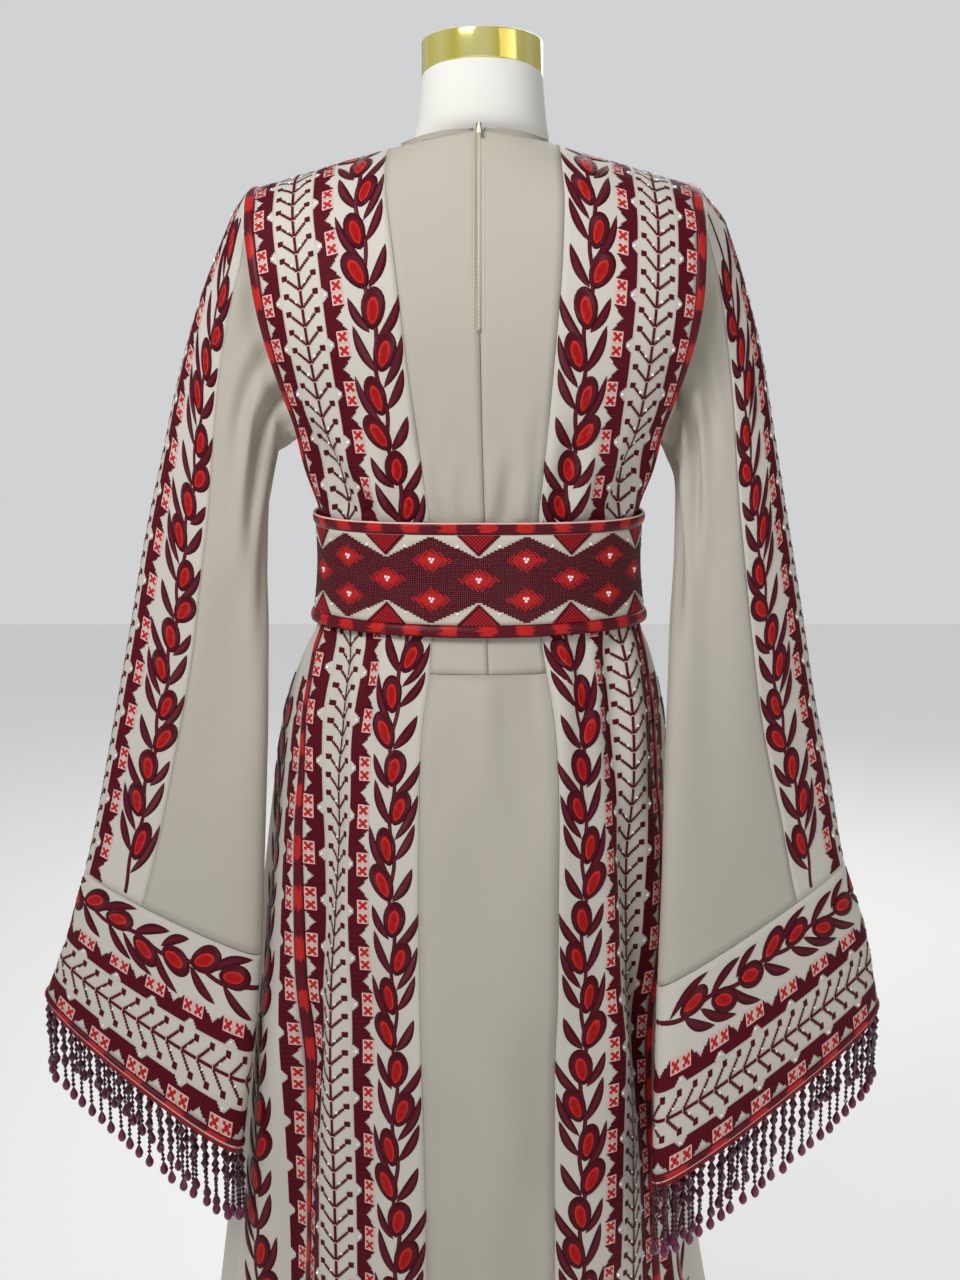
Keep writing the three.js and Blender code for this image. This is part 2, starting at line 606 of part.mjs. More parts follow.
// ---------------------------------------------------------------- neck facings and zip
const facingThick = 1.4;
const facingInset = { back: 2.35, front: 2.5 };   // the front neckline leans in more
const facingRows = [-3, 1];       // below the neck edge, and rolled up above it
const facingRoll = { edge: 1, middle: 4.5 };
function facingFrame(centre, inset) {
  return (rise, f) => {
    const { p } = centre(bandTopRow, f);
    const flat = vec(p.x, p.y - 6, 0).normalize();
    const bulge = Math.sin(Math.PI * Math.abs(f));
    const roll = facingRoll.edge + (facingRoll.middle - facingRoll.edge) * bulge;
    return { p: along(p, flat, -inset).add(vec(0, 0, rise > 0 ? roll : rise)), n: flat };
  };
}
for (const { side, sign } of sides) {
  const cols = [0.06, 0.5, 0.87].map((f) => f * sign);
  const place = facingFrame(centreBack, facingInset.back);
  add(`neck_facing_back_${side}`, sheet(facingRows, cols, place, { deep: facingThick }), colours.crepe);
}
add('neck_facing_front', sheet(facingRows, [-0.87, -0.5, 0, 0.5, 0.87],
  facingFrame(centreFront, facingInset.front), { deep: facingThick }), colours.crepe);

const coilHalf = 0.02;          // share of the panel's half width
const coilTop = 1.5;            // above the cloth
const coilRows = [15, 16, 17, 17.9, 18.6, 19.2, 19.6, 20];
const sliderRise = 2;             // the slider stands above the neck edge
const coil = { out: () => coilTop, deep: -0.4 };
add('zip_coil', sheet(coilRows, [-coilHalf, coilHalf], centreBack, coil), colours.coil, 0.5);

const zipTop = centreBack(19.9, 0);
zipTop.p.addScaledVector(vec(0, zipTop.n.z, -zipTop.n.y), sliderRise);
const sliderSize = { x: 5, y: 2.6, z: 8 };
const sliderSeat = coilTop + seamGap;
const pull = { x: 4, y: 1, z: 15, pin: 0.5, clear: 0.5 };

// Moves a box from its own frame, with Z up the slope and -Y out of the cloth, to the zip's top.
function onSlope(box, { p, n }) {
  const across = vec(1, 0, 0);
  const into = vec(0, -n.y, -n.z).normalize();
  const up = across.clone().cross(into);
  box.applyMatrix4(new THREE.Matrix4().makeBasis(across, into, up).setPosition(p));
  return box;
}
const slider = new THREE.BoxGeometry(sliderSize.x, sliderSize.y, sliderSize.z);
slider.translate(0, -sliderSeat - sliderSize.y / 2, 0);
add('zip_slider', onSlope(slider, zipTop), colours.metal, 0.3, 1);
const tab = new THREE.BoxGeometry(pull.x, pull.y, pull.z);
const hingeUp = 1;              // the pull's pivot, up the slope from the slider's middle
tab.translate(0, -sliderSeat - sliderSize.y - pull.clear - pull.y / 2, hingeUp + pull.pin - pull.z / 2);
add('zip_pull', onSlope(tab, zipTop), colours.metal, 0.3, 1);

// ---------------------------------------------------------------- the dress form
const formCols = 20;
function formRing({ z, x, back, front }) {
  const ring = [];
  for (let i = 0; i < formCols; i += 1) {
    const a = (2 * Math.PI * i) / formCols;
    const px = x * signedPower(Math.sin(a), 0.92);
    const py = -(Math.cos(a) > 0 ? back : front) * signedPower(Math.cos(a), 0.92);
    const lean = smooth(1484, capBase, z) * neckTilt;
    const neck = smooth(1430, 1484, z);
    ring.push(vec(px + neckShift * neck, py + neckForward * neck, z - lean * py));
  }
  return ring;
}

// A stack of rings closed by a fan at each end.
function stackedRings(rings) {
  const cols = rings[0].length;
  const positions = [];
  const faces = [];
  for (const ring of rings) {
    for (const p of ring) positions.push(p.x, p.y, p.z);
  }
  const middle = (ring) => ring.reduce((sum, p) => sum.add(p), vec(0, 0, 0)).divideScalar(cols);
  const ends = [middle(rings[0]), middle(rings[rings.length - 1])];
  for (const p of ends) positions.push(p.x, p.y, p.z);
  const base = rings.length * cols;
  for (let r = 0; r < rings.length - 1; r += 1) {
    for (let c = 0; c < cols; c += 1) {
      const a = r * cols + c;
      const b = r * cols + ((c + 1) % cols);
      faces.push(a, b, b + cols, a, b + cols, a + cols);
    }
  }
  for (let c = 0; c < cols; c += 1) {
    const d = (c + 1) % cols;
    const top = (rings.length - 1) * cols;
    faces.push(base, d, c);
    faces.push(base + 1, top + c, top + d);
  }
  return facingOut(meshOf(positions, faces));
}
add('form_torso', stackedRings(formRings.map(formRing)), colours.linen);

function capRing(z, tilt) {
  const cols = 32;
  return Array.from({ length: cols }, (_, i) => {
    const a = (2 * Math.PI * i) / cols;
    const y = -capRadius * Math.cos(a);
    return vec(neckShift + capRadius * Math.sin(a), neckForward + y, z - tilt * y);
  });
}
const capSolid = stackedRings([capRing(capBase, neckTilt), capRing(capTop, capTilt)]);
add('neck_cap', capSolid, colours.gold, 0.15, 1);

const poleTop = formRings[0].z - seamGap;
const foot = new THREE.CylinderGeometry(footRadius, footRadius, footHeight, 32);
foot.rotateX(Math.PI / 2);
foot.translate(0, 0, footHeight / 2);
add('form_foot', foot, colours.steel, 0.3, 1);
const pole = new THREE.CylinderGeometry(poleRadius, poleRadius, poleTop - footHeight - seamGap, 16);
pole.rotateX(Math.PI / 2);
pole.translate(0, 0, (poleTop + footHeight + seamGap) / 2);
add('form_pole', pole, colours.steel, 0.3, 1);

export default thobe;
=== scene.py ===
import math

import bpy
import numpy as np
from mathutils import Matrix, Vector


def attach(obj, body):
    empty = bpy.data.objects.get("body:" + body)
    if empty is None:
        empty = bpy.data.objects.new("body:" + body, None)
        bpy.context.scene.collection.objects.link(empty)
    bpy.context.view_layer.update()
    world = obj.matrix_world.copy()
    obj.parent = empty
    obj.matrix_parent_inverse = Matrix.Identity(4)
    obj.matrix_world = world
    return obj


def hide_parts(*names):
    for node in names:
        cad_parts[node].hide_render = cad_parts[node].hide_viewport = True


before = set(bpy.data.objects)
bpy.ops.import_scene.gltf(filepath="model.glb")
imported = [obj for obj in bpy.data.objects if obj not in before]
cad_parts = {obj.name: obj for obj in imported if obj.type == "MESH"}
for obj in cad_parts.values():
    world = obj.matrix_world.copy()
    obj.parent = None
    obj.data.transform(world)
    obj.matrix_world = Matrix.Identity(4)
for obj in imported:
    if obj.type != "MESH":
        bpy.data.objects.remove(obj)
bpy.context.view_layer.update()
mm = 0.001
bpy.ops.object.select_all(action="DESELECT")
print("frame loaded")


# ---- camera, lights and floor

cameraSetup = {"place": (0.001, -1.6, 1.31), "pitchDown": 10.3, "lens": 49.5}
studio = {"floorSize": 12.0, "floorColour": (0.92, 0.92, 0.91), "floorGlow": 0.32,
          "worldColour": (0.86, 0.87, 0.88), "worldStrength": 0.34, "backdropStrength": 0.74, "keySpread": 80}
# name, place, what it looks at, size (m), power (W)
lamps = [
    ("keySoftbox", (-0.95, -1.55, 2.60), (0.0, 0.0, 1.45), 0.9, 8.5),
    ("fillSoftbox", (2.3, -2.0, 1.9), (0.0, 0.0, 1.25), 1.8, 10),
    ("rimSoftbox", (0.6, 2.6, 2.6), (0.0, 0.0, 1.1), 2.0, 30),
    ("lowFill", (-0.4, -2.4, 0.6), (0.0, 0.0, 0.7), 1.6, 1),
]


def makeCamera():
    bpy.ops.object.camera_add(location=cameraSetup["place"],
                              rotation=(math.radians(90 - cameraSetup["pitchDown"]), 0, 0))
    camera = bpy.context.object
    camera.data.lens = cameraSetup["lens"]
    camera.data.sensor_width = 36
    camera.data.clip_start = 0.02
    bpy.context.scene.camera = camera


def makeStudio():
    for name, place, target, size, power in lamps:
        turn = (Vector(target) - Vector(place)).to_track_quat("-Z", "Y").to_euler()
        bpy.ops.object.light_add(type="AREA", location=place, rotation=turn)
        lamp = bpy.context.object
        lamp.name = name
        lamp.data.size = size
        lamp.data.energy = power
        if name == "keySoftbox":
            lamp.data.spread = math.radians(studio["keySpread"])
    world = bpy.data.worlds.new("studioWorld")
    world.use_nodes = True
    background = world.node_tree.nodes["Background"]
    background.inputs["Color"].default_value = (*studio["worldColour"], 1)
    # the backdrop shows brighter to the camera than it lights the cloth
    path = world.node_tree.nodes.new("ShaderNodeLightPath")
    strength = world.node_tree.nodes.new("ShaderNodeMapRange")
    strength.inputs["To Min"].default_value = studio["worldStrength"]
    strength.inputs["To Max"].default_value = studio["backdropStrength"]
    world.node_tree.links.new(path.outputs["Is Camera Ray"], strength.inputs["Value"])
    world.node_tree.links.new(strength.outputs["Result"], background.inputs["Strength"])
    bpy.context.scene.world = world
    bpy.context.scene.view_settings.view_transform = "Standard"
    bpy.ops.mesh.primitive_plane_add(size=studio["floorSize"], location=(0, 0, -0.0005))
    floor = bpy.context.object
    floor.name = "studioFloor"
    floor.data.transform(floor.matrix_world)
    floor.matrix_world = Matrix.Identity(4)
    material = bpy.data.materials.new("paleFloor")
    material.use_nodes = True
    shader = material.node_tree.nodes["Principled BSDF"]
    shader.inputs["Base Color"].default_value = (*studio["floorColour"], 1)
    shader.inputs["Roughness"].default_value = 0.7
    shader.inputs["Emission Color"].default_value = (*studio["floorColour"], 1)
    shader.inputs["Emission Strength"].default_value = studio["floorGlow"]
    floor.data.materials.append(material)


makeCamera()
makeStudio()
print("camera and studio set")


# ---- the garment's sizes, as its pattern pieces are cut (mm)

cut = {"wall": 1.4, "bandWidth": 118, "oliveWidth": 46, "pipingWidth": 10, "neckHalf": 74,
       "shoulderSlope": 0.29, "squareness": 2, "neckRise": 24, "neckRound": 1.35,
       "neckFrom": 17, "backNeckRows": 1.2, "frontNeckRows": 2.6,
       "armpitRow": 13, "ridgeRow": 20, "waistSeamRow": 8, "sideSeamRow": 9.5,
       "sleeveBandHalf": 82, "sleeveFlatness": 0.7, "cuffTopRow": 9, "cuffPipingRow": 10.86, "hemRow": 11,
       "liningRows": (9.6, 10.97), "liningInset": 2.3,
       "cell": 1.6, "edgeStitch": 1.8, "sideBorder": 82, "sideOlives": 30}

ringColumns = ("h", "left", "right", "back", "front", "seam", "shift", "fold")
bodyRings = np.array([
    (28, 288, 286, 236, 240, 58, 11, 13),
    (200, 268, 252, 216, 222, 57, 11, 11),
    (376, 248, 216, 198, 203, 56, 11, 8),
    (530, 230, 194, 184, 188, 58, 11, 6),
    (690, 213, 182, 168, 172, 60, 10, 4),
    (800, 200, 178, 155, 160, 61, 9, 3),
    (900, 188, 174, 142, 147, 60, 9, 2),
    (963, 177, 168, 130, 136, 57, 8, 1.5),
    (1010, 160, 157, 115, 120, 51, 8, 1),
    (1040, 147, 147, 105, 109, 48, 7, 0),
    (1090, 141, 141, 101, 105, 47, 6, 0),
    (1141, 143, 143, 102, 107, 47, 5, 0),
    (1170, 150, 150, 106, 112, 50, 4, 0),
    (1205, 162, 162, 110, 118, 54, 3, 0),
    (1250, 180, 181, 115, 127, 59, 2, 0),
    (1300, 198, 200, 118, 130, 64, 1, 0),
    (1350, 213, 214, 112, 122, 69, 0, 0),
    (1395, 223, 221, 99, 104, 73, -2, 0),
    (1428, 229, 225, 79, 80, 76, -4, 0),
    (1450, 230, 225, 49, 49, 78, -5, 0),
    (1460, 230, 225, 0.2, 0.2, 79, -5, 0),
], float)

# outer edge x y z, inner edge x y z, half thickness to the back and front, drop of the front
sleeveColumns = ("ox", "oy", "oz", "ix", "iy", "iz", "back", "front", "drop")
sleeveSections = {
    "left": np.array([
        (215, 0, 1404, 171, 0, 1200, 64, 62, 0),
        (246, -4, 1331, 185, -8, 1188, 46, 44, 0),
        (268, -8, 1259, 189, -20, 1146, 36, 34, 0),
        (284, -12, 1191, 190, -32, 1098, 30, 28, 0),
        (301, -15, 1119, 190, -42, 1045, 27, 25, 0),
        (317, -18, 1036, 191, -50, 983, 25, 24, 2),
        (335, -20, 948, 192, -58, 915, 25, 24, 6),
        (352, -22, 865, 194, -66, 838, 26, 25, 12),
        (366, -25, 808, 198, -75, 744, 28, 26, 20),
        (385, -25, 745, 205, -92, 659, 32, 28, 30),
        (407, -25, 687, 215, -108, 573, 36, 30, 42),
    ], float),
    "right": np.array([
        (215, 0, 1399, 170, 0, 1190, 64, 62, 0),
        (233, -4, 1349, 178, -10, 1170, 46, 44, 0),
        (251, -8, 1284, 177, -28, 1134, 36, 34, 0),
        (264, -12, 1213, 174, -48, 1082, 30, 28, 0),
        (276, -15, 1146, 170, -68, 1027, 27, 25, 0),
        (291, -18, 1064, 167, -85, 972, 25, 24, 2),
        (308, -20, 967, 164, -100, 903, 25, 24, 6),
        (324, -22, 892, 161, -115, 826, 26, 25, 12),
        (339, -25, 816, 157, -130, 735, 28, 26, 20),
        (361, -25, 752, 154, -150, 654, 32, 28, 30),
        (376, -25, 675, 152, -165, 568, 36, 30, 42),
    ], float),
}


def readTable(table, k):
    last = len(table) - 1
    i = min(max(int(math.floor(k)), 0), last - 1)
    t = k - i

    def at(j):
        return table[min(max(j, 0), last)]

    before = (at(i + 1) - at(i - 1)) / 2
    after = (at(i + 2) - at(i)) / 2
    return ((2 * t**3 - 3 * t**2 + 1) * at(i) + (t**3 - 2 * t**2 + t) * before
            + (-2 * t**3 + 3 * t**2) * at(i + 1) + (t**3 - t**2) * after)


def smoothStep(low, high, x):
    t = np.clip((x - low) / (high - low), 0, 1)
    return t * t * (3 - 2 * t)


def signedPower(value, power):
    return np.sign(value) * np.abs(value) ** power


def runningLength(points):
    steps = np.linalg.norm(np.diff(points, axis=0), axis=1)
    return np.concatenate([[0], np.cumsum(steps)])


def alongLine(line, distance):
    runs, points = line
    return np.stack([np.interp(distance, runs, points[:, axis]) for axis in range(3)], axis=-1)


ringStore = {}


def halfRing(k, sign):
    key = (round(k, 5), sign)
    if key in ringStore:
        return ringStore[key]
    row = dict(zip(ringColumns, readTable(bodyRings, k)))
    wide = row["right"] if sign > 0 else row["left"]
    power = 2 / (2 + cut["squareness"] * smoothStep(1060, 1395, row["h"]))
    slope = smoothStep(1205, 1428, row["h"]) * cut["shoulderSlope"]
    rise = smoothStep(1395, 1455, row["h"]) * cut["neckRise"]
    turn = np.linspace(0, math.pi, 321)
    fold = max(row["fold"], 0)
    swell = 1 + fold * np.sin(turn) ** 2 * np.cos(12 * turn + 0.5 * sign) / wide
    x = wide * np.abs(np.sin(turn)) ** power * swell
    depth = np.where(np.cos(turn) > 0, row["back"], row["front"])
    y = -depth * signedPower(np.cos(turn), power) * swell
    lift = rise * np.maximum(0, 1 - (x / cut["neckHalf"]) ** cut["neckRound"])
    z = row["h"] - slope * np.maximum(0, x - cut["neckHalf"]) + lift
    points = np.stack([sign * x, y, z], axis=1)
    ringStore[key] = (runningLength(points), points)
    return ringStore[key]


def bodyRow(k, arc):
    out = np.empty((len(arc), 3))
    for sign in (-1, 1):
        pick = arc < 0 if sign < 0 else arc >= 0
        if pick.any():
            out[pick] = alongLine(halfRing(k, sign), np.abs(arc[pick]))
    return out


def seamLines(k, sign):
    half = halfRing(k, sign)[0][-1]
    row = dict(zip(ringColumns, readTable(bodyRings, k)))
    backSeam = row["seam"] + row["shift"] * sign
    backOuter = backSeam + cut["bandWidth"]
    frontSeam = half - row["seam"] - min(row["shift"], 0) * sign
    return {"backSeam": backSeam, "backOuter": backOuter, "frontSeam": frontSeam,
            "frontOuter": frontSeam - cut["bandWidth"], "half": half,
            "seam": row["seam"], "shift": row["shift"]}


# ---- sleeves and cuffs as flattened loops

sleeveStore = {}


def armholeLine(sign, face):
    reach = cut["pipingWidth"] + 0.8
    points = []

    def edge(k):
        lines = seamLines(k, sign)
        return lines["backOuter"] + reach if face == "back" else lines["frontOuter"] - reach

    for k in (20, 19.6, 19.2, 18.6, 17.9, 17, 16.5, 16, 15.5, 15, 14.5, 14, 13.5, 13.03):
        points.append(bodyRow(k, np.array([sign * edge(k)]))[0])
    top = cut["armpitRow"] + 0.03
    lines = seamLines(top, sign)
    middle = (lines["backOuter"] + lines["frontOuter"]) / 2
    for t in (0.34, 0.67, 1):
        points.append(bodyRow(top, np.array([sign * (edge(top) + (middle - edge(top)) * t)]))[0])
    points = np.array(points)
    return runningLength(points), points


def sleeveLine(side, r, face):
    key = (side, round(r, 4), face)
    if key in sleeveStore:
        return sleeveStore[key]
    sign = -1 if side == "left" else 1
    if r <= 0:
        sleeveStore[key] = armholeLine(sign, face)
        return sleeveStore[key]
    row = dict(zip(sleeveColumns, readTable(sleeveSections[side], r - 1)))
    outer = np.array([sign * row["ox"], row["oy"], row["oz"]])
    inner = np.array([sign * row["ix"], row["iy"], row["iz"]])
    thick = -row["back"] if face == "back" else row["front"]
    turn = np.linspace(0, math.pi, 121)
    share = ((1 - signedPower(np.cos(turn), 0.95)) / 2)[:, None]
    points = outer + (inner - outer) * share
    points[:, 1] += thick * np.sin(turn) ** cut["sleeveFlatness"]
    if face == "front":
        points[:, 2] -= row["drop"] * np.sin(turn) * (1 - np.cos(turn)) * 0.5
    sleeveStore[key] = (runningLength(points), points)
    return sleeveStore[key]


def sleeveRow(side, r, face, read):
    if 0 < r < 1:
        first = sleeveLine(side, 0, face)
        second = sleeveLine(side, 1, face)
        a = alongLine(first, read(first[0][-1]))
        b = alongLine(second, read(second[0][-1]))
        return a + (b - a) * r
    line = sleeveLine(side, r, face)
    return alongLine(line, read(line[0][-1]))


# ---- cloth maps: a grid of points and normals that runs in mm across and along a piece

def clothMap(points, across, inside, creases=None):
    alongMm = runningLength(points[:, points.shape[1] // 2])
    normals = np.cross(np.gradient(points, axis=1), np.gradient(points, axis=0))
    normals /= np.linalg.norm(normals, axis=2, keepdims=True) + 1e-9
    middle = (points.shape[0] // 2, points.shape[1] // 2)
    if np.dot(normals[middle], points[middle] - inside) < 0:
        normals = -normals
    if creases is not None:
        points = points + normals * creases(points)[..., None]
        fresh = np.cross(np.gradient(points, axis=1), np.gradient(points, axis=0))
        fresh /= np.linalg.norm(fresh, axis=2, keepdims=True) + 1e-9
        if np.dot(fresh[middle], normals[middle]) < 0:
            fresh = -fresh
        normals = fresh
    return {"points": points, "normals": normals, "across": np.asarray(across, float), "along": alongMm}


def placeOn(cloth, u, v, height):
    across, alongMm = cloth["across"], cloth["along"]
    u = np.asarray(u, float)
    v = np.asarray(v, float)
    col = np.clip(np.searchsorted(across, u, side="right") - 1, 0, len(across) - 2)
    row = np.clip(np.searchsorted(alongMm, v, side="right") - 1, 0, len(alongMm) - 2)
    fu = np.clip((u - across[col]) / (across[col + 1] - across[col]), 0, 1)[..., None]
    fv = np.clip((v - alongMm[row]) / (alongMm[row + 1] - alongMm[row]), 0, 1)[..., None]
    spot = []
    for grid in (cloth["points"], cloth["normals"]):
        low = grid[row, col] * (1 - fu) + grid[row, col + 1] * fu
        high = grid[row + 1, col] * (1 - fu) + grid[row + 1, col + 1] * fu
        spot.append(low * (1 - fv) + high * fv)
    return spot[0] + spot[1] * np.asarray(height)[..., None]


def raiseMap(cloth, height):
    cloth["points"] = cloth["points"] + cloth["normals"] * height


def countedBack(cloth):
    # the same map counted from its other end
    return {"points": cloth["points"][:, ::-1], "normals": cloth["normals"][:, ::-1],
            "across": cloth["across"][-1] - cloth["across"][::-1], "along": cloth["along"]}


def countedDown(cloth):
    # the same map counted from its last row
    return {"points": cloth["points"][::-1], "normals": cloth["normals"][::-1],
            "across": cloth["across"], "along": cloth["along"][-1] - cloth["along"][::-1]}


def turnedMap(cloth):
    # the same map with its rows and columns changed over, for a strip that runs round a ring
    return {"points": cloth["points"].transpose(1, 0, 2), "normals": cloth["normals"].transpose(1, 0, 2),
            "across": cloth["along"], "along": cloth["across"]}


cordColumns = 7


def cordProfile(edge, rise):
    # heights across a strip, low at both edges and round in the middle
    return edge + rise * np.sin(np.linspace(0, math.pi, cordColumns)) ** 0.7


# creases, each listed: from x z, to x z, half width, depth, on which face (-1 the zip side);
# creaseDepth makes them all deeper or shallower at once
creaseDepth = 2.7
creaseLines = [
    (-40, 660, -46, 300, 22, 2.2, -1),
    (30, 560, 44, 200, 24, 2.2, -1),
    (-8, 1005, -14, 905, 8, 1.6, -1),
    (50, 1010, 62, 880, 9, 1.8, -1),
    (-52, 1010, -60, 900, 9, 1.6, -1),
    (48, 1142, 56, 1250, 8, 1.6, -1),
    (-44, 1142, -52, 1260, 8, 1.6, -1),
    (-150, 700, -176, 300, 18, 4.0, -1),
    (150, 720, 176, 300, 18, 4.0, -1),
    (-130, 900, -160, 560, 13, 3.6, -1),
    (132, 880, 158, 540, 13, 3.6, -1),
    (-28, 1140, -36, 1215, 7, 2.2, -1),
    (-14, 1140, -18, 1190, 6, 1.8, -1),
    (22, 1140, 30, 1205, 7, 2.0, -1),
    (-60, 1142, -78, 1225, 9, 2.2, -1),
    (66, 1142, 84, 1240, 10, 2.4, -1),
    (-112, 1143, -146, 1232, 9, 3.4, -1),
    (112, 1143, 150, 1228, 9, 3.2, -1),
    (-92, 1142, -112, 1190, 7, 2.0, -1),
    (95, 1142, 110, 1200, 7, 2.2, -1),
    (-118, 1036, -134, 880, 10, 3.4, -1),
    (-96, 1038, -104, 930, 8, 2.2, -1),
    (112, 1036, 128, 870, 10, 3.2, -1),
    (88, 1038, 96, 950, 8, 1.8, -1),
    (-30, 1008, -38, 860, 14, 2.2, -1),
    (36, 1008, 44, 820, 16, 2.4, -1),
    (2, 980, 8, 700, 26, 2.0, -1),
    (-20, 640, -26, 330, 30, 2.4, -1),
    (60, 700, 70, 380, 26, 2.6, -1),
    (-90, 760, -110, 380, 24, 2.6, -1),
    (-26, 1140, -34, 1210, 8, 2.4, 1),
    (20, 1140, 26, 1200, 7, 2.0, 1),
    (-108, 1143, -140, 1225, 9, 3.2, 1),
    (110, 1143, 142, 1232, 9, 3.2, 1),
    (-114, 1036, -130, 880, 10, 3.2, 1),
    (114, 1036, 128, 860, 10, 3.2, 1),
    (-24, 1030, -34, 800, 15, 2.4, 1),
    (30, 1030, 42, 760, 16, 2.6, 1),
    (0, 700, 4, 300, 30, 2.6, 1),
    (90, 720, 112, 340, 26, 2.8, 1),
    (-94, 700, -112, 320, 26, 2.8, 1),
]


def bodyCreases(points):
    x, y, z = points[..., 0], points[..., 1], points[..., 2]
    total = np.zeros(x.shape)
    for x0, z0, x1, z1, width, depth, face in creaseLines:
        run = math.hypot(x1 - x0, z1 - z0)
        ax, az = (x1 - x0) / run, (z1 - z0) / run
        t = ((x - x0) * ax + (z - z0) * az) / run
        gap = np.abs((x - x0) * az - (z - z0) * ax)
        fade = smoothStep(-0.10, 0.12, t) * (1 - smoothStep(0.45, 1.05, t))
        onFace = smoothStep(5, 45, y * face)
        trough = -depth * np.exp(-(gap / width) ** 2)
        ridge = 0.55 * depth * np.exp(-((gap - 1.9 * width) / width) ** 2)
        total += (trough + ridge) * fade * onFace
    return total * creaseDepth


# ---- meshes

def clearSelection():
    bpy.ops.object.select_all(action="DESELECT")


def takeUnit():
    # reads off the small shape just modelled and clears it away, so that copies can be placed
    unit = bpy.context.object
    points = np.array([vertex.co for vertex in unit.data.vertices])
    faces = [list(polygon.vertices) for polygon in unit.data.polygons]
    bpy.data.objects.remove(unit)
    return points, faces


def linkMesh(name, vertices, faces):
    mesh = bpy.data.meshes.new(name)
    mesh.from_pydata(vertices, [], faces)
    piece = bpy.data.objects.new(name, mesh)
    bpy.context.scene.collection.objects.link(piece)
    return piece


def quadMesh(name, vertices, faces, uvs, slots):
    # thousands of stitches at once, each with its own tile of the map
    mesh = bpy.data.meshes.new(name)
    mesh.vertices.add(len(vertices))
    mesh.vertices.foreach_set("co", np.asarray(vertices, np.float32).ravel() * mm)
    faces = np.asarray(faces, np.int32)
    count, size = faces.shape
    mesh.loops.add(count * size)
    mesh.loops.foreach_set("vertex_index", faces.ravel())
    mesh.polygons.add(count)
    mesh.polygons.foreach_set("loop_start", np.arange(0, count * size, size, dtype=np.int32))
    mesh.polygons.foreach_set("loop_total", np.full(count, size, np.int32))
    mesh.polygons.foreach_set("material_index", np.asarray(slots, np.int32))
    mesh.update(calc_edges=True)
    layer = mesh.uv_layers.new(name="OFBake")
    layer.data.foreach_set("uv", np.asarray(uvs, np.float32).ravel())
    mesh.validate()
    piece = bpy.data.objects.new(name, mesh)
    bpy.context.scene.collection.objects.link(piece)
    mesh.polygons.foreach_set("use_smooth", [True] * len(mesh.polygons))
    return piece


def applyModifier(piece, kind, **settings):
    clearSelection()
    bpy.context.view_layer.objects.active = piece
    piece.select_set(True)
    modifier = piece.modifiers.new(kind.lower(), kind)
    for key, value in settings.items():
        setattr(modifier, key, value)
    bpy.ops.object.modifier_apply(modifier=modifier.name)
    piece.select_set(False)


def finishPiece(piece, materials, body="garment", replaces=()):
    for material in materials:
        piece.data.materials.append(material)
    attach(piece, body)
    if replaces:
        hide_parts(*replaces)
    return piece


def gridFaces(rows, cols, ring=False):
    r, c = np.meshgrid(np.arange(rows - 1), np.arange(cols if ring else cols - 1), indexing="ij")
    nextCol = (c + 1) % cols
    return np.stack([r * cols + c, r * cols + nextCol, (r + 1) * cols + nextCol, (r + 1) * cols + c],
                    axis=-1).reshape(-1, 4)


def facingOut(faces, points, normals):
    flat = points.reshape(-1, 3)
    a, b, d = flat[faces[:, 0]], flat[faces[:, 1]], flat[faces[:, 3]]
    lean = np.einsum("ij,ij->i", np.cross(b - a, d - a), normals.reshape(-1, 3)[faces[:, 0]])
    return faces if lean.sum() > 0 else faces[:, ::-1]


def sewPanel(name, cloth, material, replaces, wall=cut["wall"]):
    points = cloth["points"]
    rows, cols = points.shape[:2]
    clearSelection()
    bpy.ops.mesh.primitive_grid_add(x_subdivisions=cols - 1, y_subdivisions=rows - 1)
    piece = bpy.context.object
    piece.name = name
    mesh = piece.data
    mesh.vertices.foreach_set("co", points.astype(np.float32).ravel() * mm)
    mesh.update()
    corner = np.empty(len(mesh.loops), np.int32)
    mesh.loops.foreach_get("vertex_index", corner)
    uGrid, vGrid = np.meshgrid(cloth["across"], cloth["along"])
    uv = np.stack([uGrid, vGrid], axis=-1).reshape(-1, 2)[corner] * mm
    mesh.uv_layers[0].data.foreach_set("uv", uv.astype(np.float32).ravel())
    lean = np.empty(len(mesh.polygons) * 3, np.float32)
    mesh.polygons.foreach_get("normal", lean)
    away = cloth["normals"][:-1, :-1].reshape(-1, 3)
    if np.einsum("ij,ij->i", lean.reshape(-1, 3), away).sum() < 0:
        mesh.flip_normals()
    bpy.ops.object.shade_smooth()
    applyModifier(piece, "SOLIDIFY", thickness=wall * mm, offset=-1, use_even_offset=False)
    return finishPiece(piece, [material], replaces=replaces)


# ---- materials

def nodeAdder(tree):
    # an input given as another node's socket is linked, and any other value is set on it
    def add(kind, inputs=None, **settings):
        node = tree.nodes.new(kind)
        for key, value in settings.items():
            setattr(node, key, value)
        for key, value in (inputs or {}).items():
            socket = node.inputs[key]
            if isinstance(value, bpy.types.NodeSocket):
                tree.links.new(value, socket)
            else:
                socket.default_value = (*value, 1) if socket.type == "RGBA" else value
        return node

    return add


def compute(add, operation, *values):
    return add("ShaderNodeMath", dict(enumerate(values)), operation=operation).outputs[0]


def mixColours(add, share, first, second):
    # sockets 6 and 7 of a colour mix are its two colours, and output 2 is the result
    return add("ShaderNodeMix", {"Factor": share, 6: first, 7: second}, data_type="RGBA").outputs[2]


